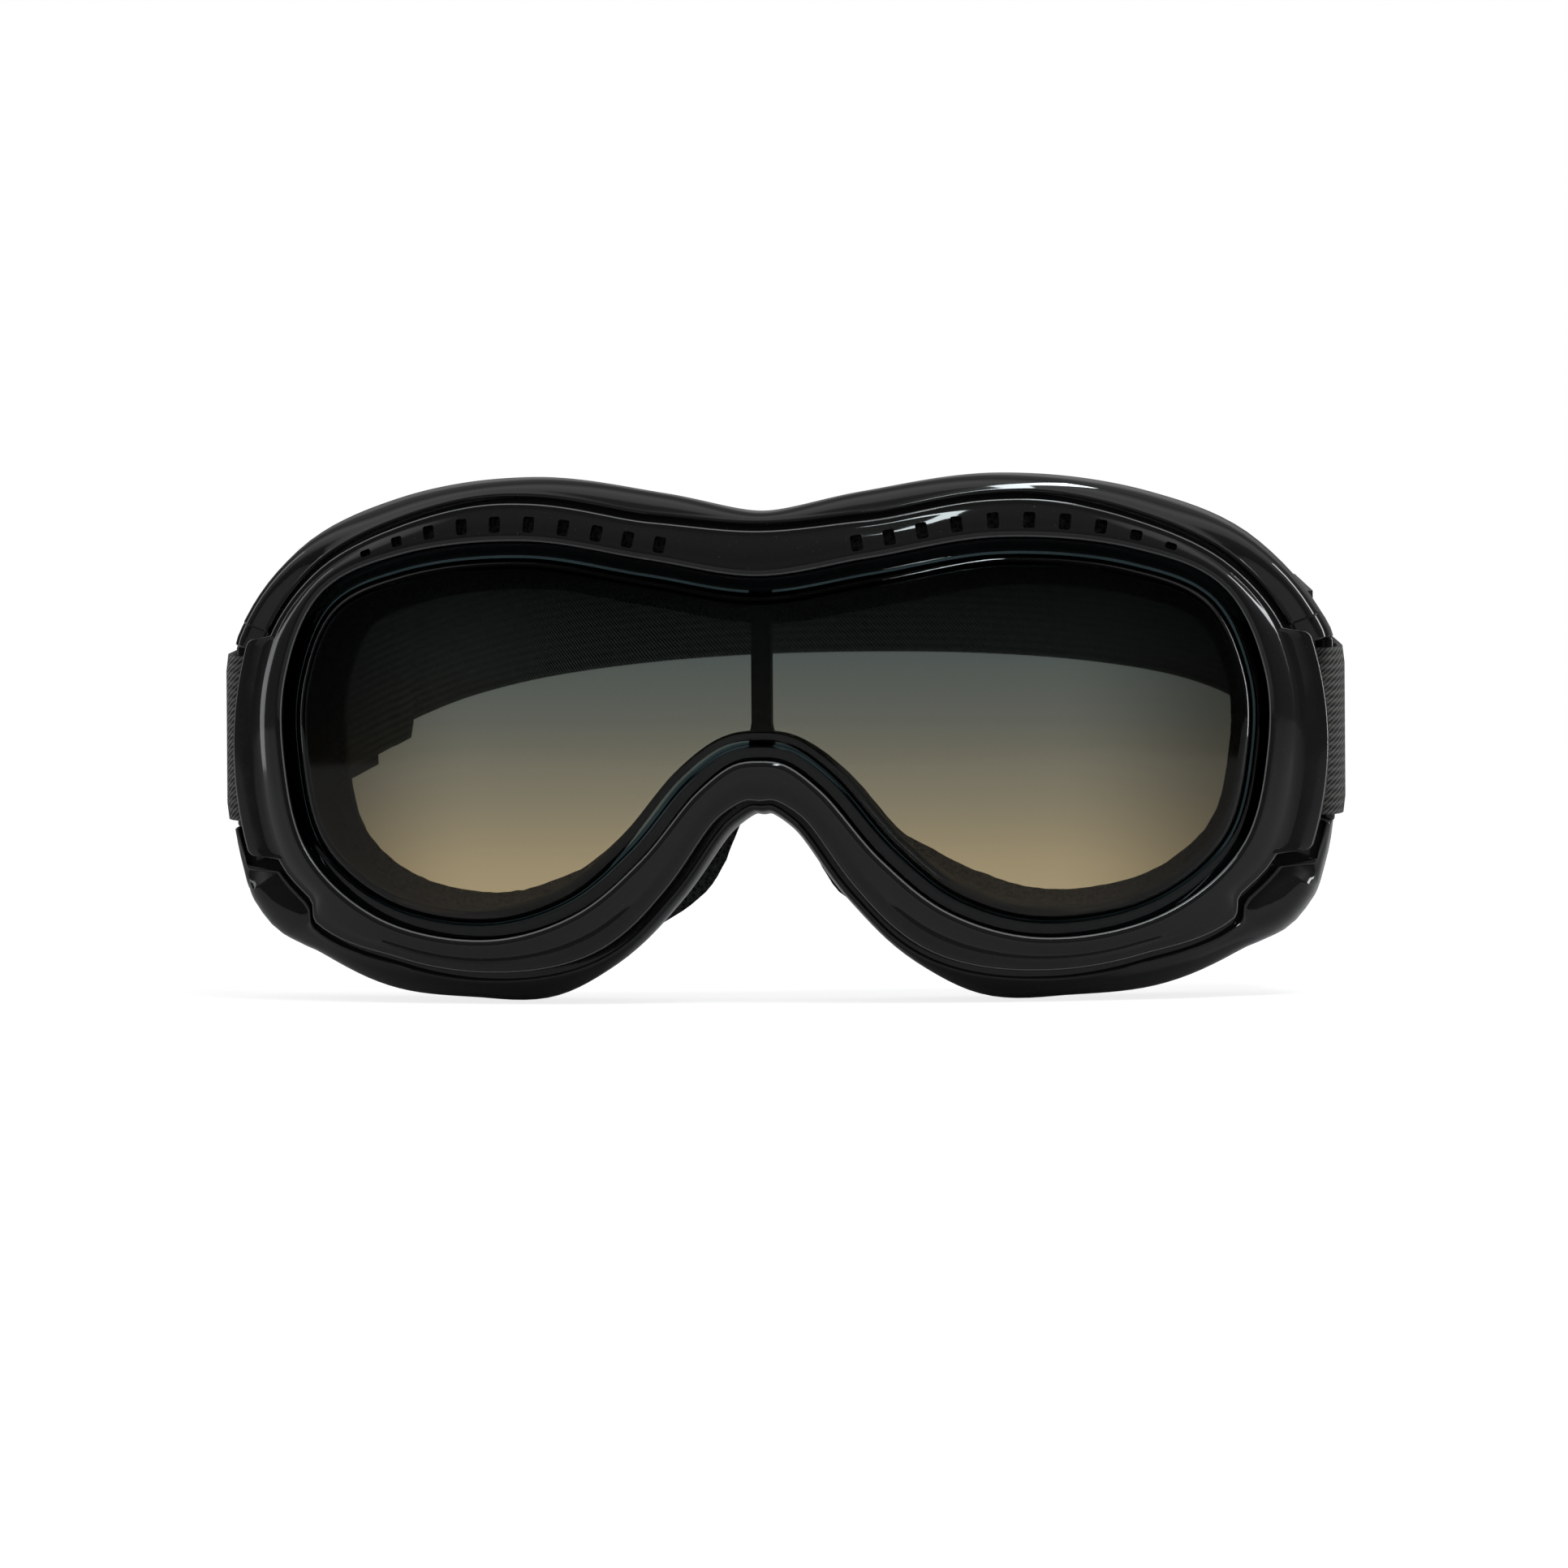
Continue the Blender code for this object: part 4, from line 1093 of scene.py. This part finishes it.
finishes = {
    "glossBlack": glossPlastic("glossBlack", (0.0105, 0.0112, 0.0104), 0.05),
    # a light grey finish on the edge bands: painted highlight lines along the crisp edges
    "paintedEdgeHighlight": glossPlastic("paintedEdgeHighlight", (0.13, 0.135, 0.132), 0.22),
    "postBlue": glossPlastic("postBlue", (0.028, 0.042, 0.052), 0.22),
    "sliderBlack": glossPlastic("sliderBlack", (0.016, 0.016, 0.017), 0.34),
    "lensSmokeAndShade": lensSmokeAndShade(),
    "lensRim": lensRim(),
    "coarseFoam": coarseFoam(),
    "wovenElastic": wovenElastic(),
    "softRubber": softRubber(),
}


def finishWith(piece, *names):
    kept = [polygon.material_index for polygon in piece.data.polygons]
    piece.data.materials.clear()
    for name in names:
        piece.data.materials.append(finishes[name])
    for polygon, index in zip(piece.data.polygons, kept):
        polygon.material_index = min(index, len(names) - 1)


for piece, *names in (
    (frontBezel, "glossBlack", "paintedEdgeHighlight"), (rearShell, "glossBlack", "paintedEdgeHighlight"),
    (smokeLens, "lensSmokeAndShade", "lensRim"), (foamRing, "coarseFoam"),
    (strapWebbing, "wovenElastic"), (sliderLeft, "sliderBlack"), (sliderRight, "sliderBlack"),
    (nodes["centre_post"], "postBlue"), (nodes["lens_seal"], "softRubber"),
    (filterLeft, "coarseFoam"), (filterRight, "coarseFoam"),
):
    finishWith(piece, *names)
print("materials made")


# Bodies, replaced nodes and slots
for piece, body, slot, replaced in (
    (frontBezel, "bezel", "gloss_black", ("front_bezel",)),
    (smokeLens, "bezel", "smoke_lens", ("lens",)),
    (rearShell, "frame", "gloss_black", ("rear_shell",)),
    (foamRing, "frame", "open_cell_foam", ("face_foam",)),
    (filterLeft, "frame", "open_cell_foam", ("brow_filter_left",)),
    (filterRight, "frame", "open_cell_foam", ("brow_filter_right",)),
    (sliderLeft, "slider_left", "slider_plastic", ("strap_slider_left",)),
    (sliderRight, "slider_right", "slider_plastic", ("strap_slider_right",)),
):
    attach(piece, body)
    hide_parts(*replaced)
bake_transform(strapWebbing)
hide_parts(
    "strap_band", "strap_loop_left", "strap_loop_right", "strap_tail_left", "strap_tail_right",
)


# Stage: pale floor, soft lights and the camera
stage = {
    "floorSize": 12.0,
    "floorBelow": 0.3,
    "floorGlow": 0.8,
    "fill": 0.8,
    "lightAim": (0.0, 0.02, 0.0),
    "cameraDistance": 1.2,
    "azimuth": 5.0,
    "elevation": 0.5,
    "roll": 0.4,
    "aim": (3.9, 0.0, -7.4),
    "lens": 178.88,
    "sensor": 36.0,
}


def lightPath(tree, *rays):
    path = tree.nodes.new("ShaderNodeLightPath")
    result = path.outputs[rays[0]]
    for ray in rays[1:]:
        either = addNode(tree, "ShaderNodeMath", operation="MAXIMUM")
        tree.links.new(result, either.inputs[0])
        tree.links.new(path.outputs[ray], either.inputs[1])
        result = either.outputs[0]
    return result


def makeWorld():
    world = bpy.data.worlds.new("studio")
    bpy.context.scene.world = world
    world.use_nodes = True
    tree = world.node_tree
    tree.nodes.clear()
    white = addNode(tree, "ShaderNodeBackground", Color=(1.0, 1.0, 1.0, 1.0), Strength=1.0)
    fill = addNode(tree, "ShaderNodeBackground", Color=(0.97, 0.98, 1.0, 1.0), Strength=stage["fill"])
    room = addNode(tree, "ShaderNodeBackground", Strength=1.0)
    way = addNode(tree, "ShaderNodeTexCoord").outputs["Generated"]
    parts = addFrom(tree, "ShaderNodeSeparateXYZ", way)
    stops = ((0.0, 0.02), (0.44, 0.04), (0.54, 0.5), (0.74, 0.5), (0.84, 0.08), (0.92, 0.12), (1.0, 1.0))
    backness = addRange(tree, parts["Y"], -1.0, 1.0)
    shade = addRamp(tree, backness, [(place, grey(value)) for place, value in stops])
    above = addRange(tree, parts["Z"], 0.1, 0.6, 0.12, 1.0, interpolation_type="SMOOTHSTEP")
    tree.links.new(scaleColour(tree, shade, above), room.inputs["Color"])
    glossy = mixShaders(tree, lightPath(tree, "Is Glossy Ray"), fill.outputs[0], room.outputs[0])
    direct = lightPath(tree, "Is Camera Ray", "Is Transmission Ray")
    out = tree.nodes.new("ShaderNodeOutputWorld")
    tree.links.new(mixShaders(tree, direct, glossy, white.outputs[0]), out.inputs[0])


def makeFloor():
    bpy.ops.object.select_all(action="DESELECT")
    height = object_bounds()[0].z - stage["floorBelow"] * mm
    bpy.ops.mesh.primitive_plane_add(size=stage["floorSize"], location=(0.0, 0.0, height))
    floor = bpy.context.active_object
    floor.name = "floor"
    made, tree, shader = newMaterial("paleFloor", grey(0.28), 0.7)
    glow = addNode(tree, "ShaderNodeEmission", Strength=stage["floorGlow"])
    both = tree.nodes.new("ShaderNodeAddShader")
    tree.links.new(shader.outputs[0], both.inputs[0])
    tree.links.new(glow.outputs[0], both.inputs[1])
    direct = lightPath(tree, "Is Camera Ray", "Is Transmission Ray")
    surface = mixShaders(tree, direct, shader.outputs[0], both.outputs[0])
    tree.links.new(surface, tree.nodes["Material Output"].inputs["Surface"])
    floor.data.materials.append(made)


def addLight(name, place, size, brightness, colour=(1.0, 1.0, 1.0), glossOnly=False, inGloss=True):
    data = bpy.data.lights.new(name, "AREA")
    data.shape = "RECTANGLE"
    data.size, data.size_y = size
    data.energy = brightness * math.pi * size[0] * size[1]
    data.color = colour
    light = bpy.data.objects.new(name, data)
    bpy.context.scene.collection.objects.link(light)
    light.location = place
    light.rotation_euler = (Vector(stage["lightAim"]) - light.location).to_track_quat("-Z", "Y").to_euler()
    light.visible_diffuse = not glossOnly
    light.visible_glossy = inGloss


def makeCamera():
    azimuth, elevation, roll = (math.radians(stage[key]) for key in ("azimuth", "elevation", "roll"))
    right = Vector((math.cos(azimuth), math.sin(azimuth), 0.0))
    flat = math.cos(elevation)
    forward = Vector((-math.sin(azimuth) * flat, math.cos(azimuth) * flat, -math.sin(elevation)))
    up = right.cross(forward)
    turnedRight = right * math.cos(roll) - up * math.sin(roll)
    turnedUp = right * math.sin(roll) + up * math.cos(roll)
    data = bpy.data.cameras.new("photoView")
    data.sensor_width = stage["sensor"]
    data.lens = stage["lens"]
    data.clip_start = 0.05
    camera = bpy.data.objects.new("photoView", data)
    bpy.context.scene.collection.objects.link(camera)
    turn = Matrix((turnedRight, turnedUp, -forward)).transposed().to_4x4()
    place = Vector(stage["aim"]) * mm - forward * stage["cameraDistance"]
    camera.matrix_world = Matrix.Translation(place) @ turn
    bpy.context.scene.camera = camera


makeWorld()
makeFloor()
addLight("key", (0.25, -0.35, 0.95), (0.55, 0.16), 20.0, inGloss=False)
addLight("overheadStrip", (0.2, 0.0, 0.9), (1.7, 0.09), 17.0, (0.88, 0.97, 1.0), True)
addLight("rightStrip", (0.78, 0.42, 0.1), (0.12, 0.75), 7.0, (0.95, 0.98, 1.0), True)
addLight("leftStrip", (-0.78, 0.44, 0.1), (0.12, 0.75), 1.2, (0.95, 0.98, 1.0), True)
makeCamera()
bpy.context.scene.view_settings.view_transform = "Standard"
print("stage set")
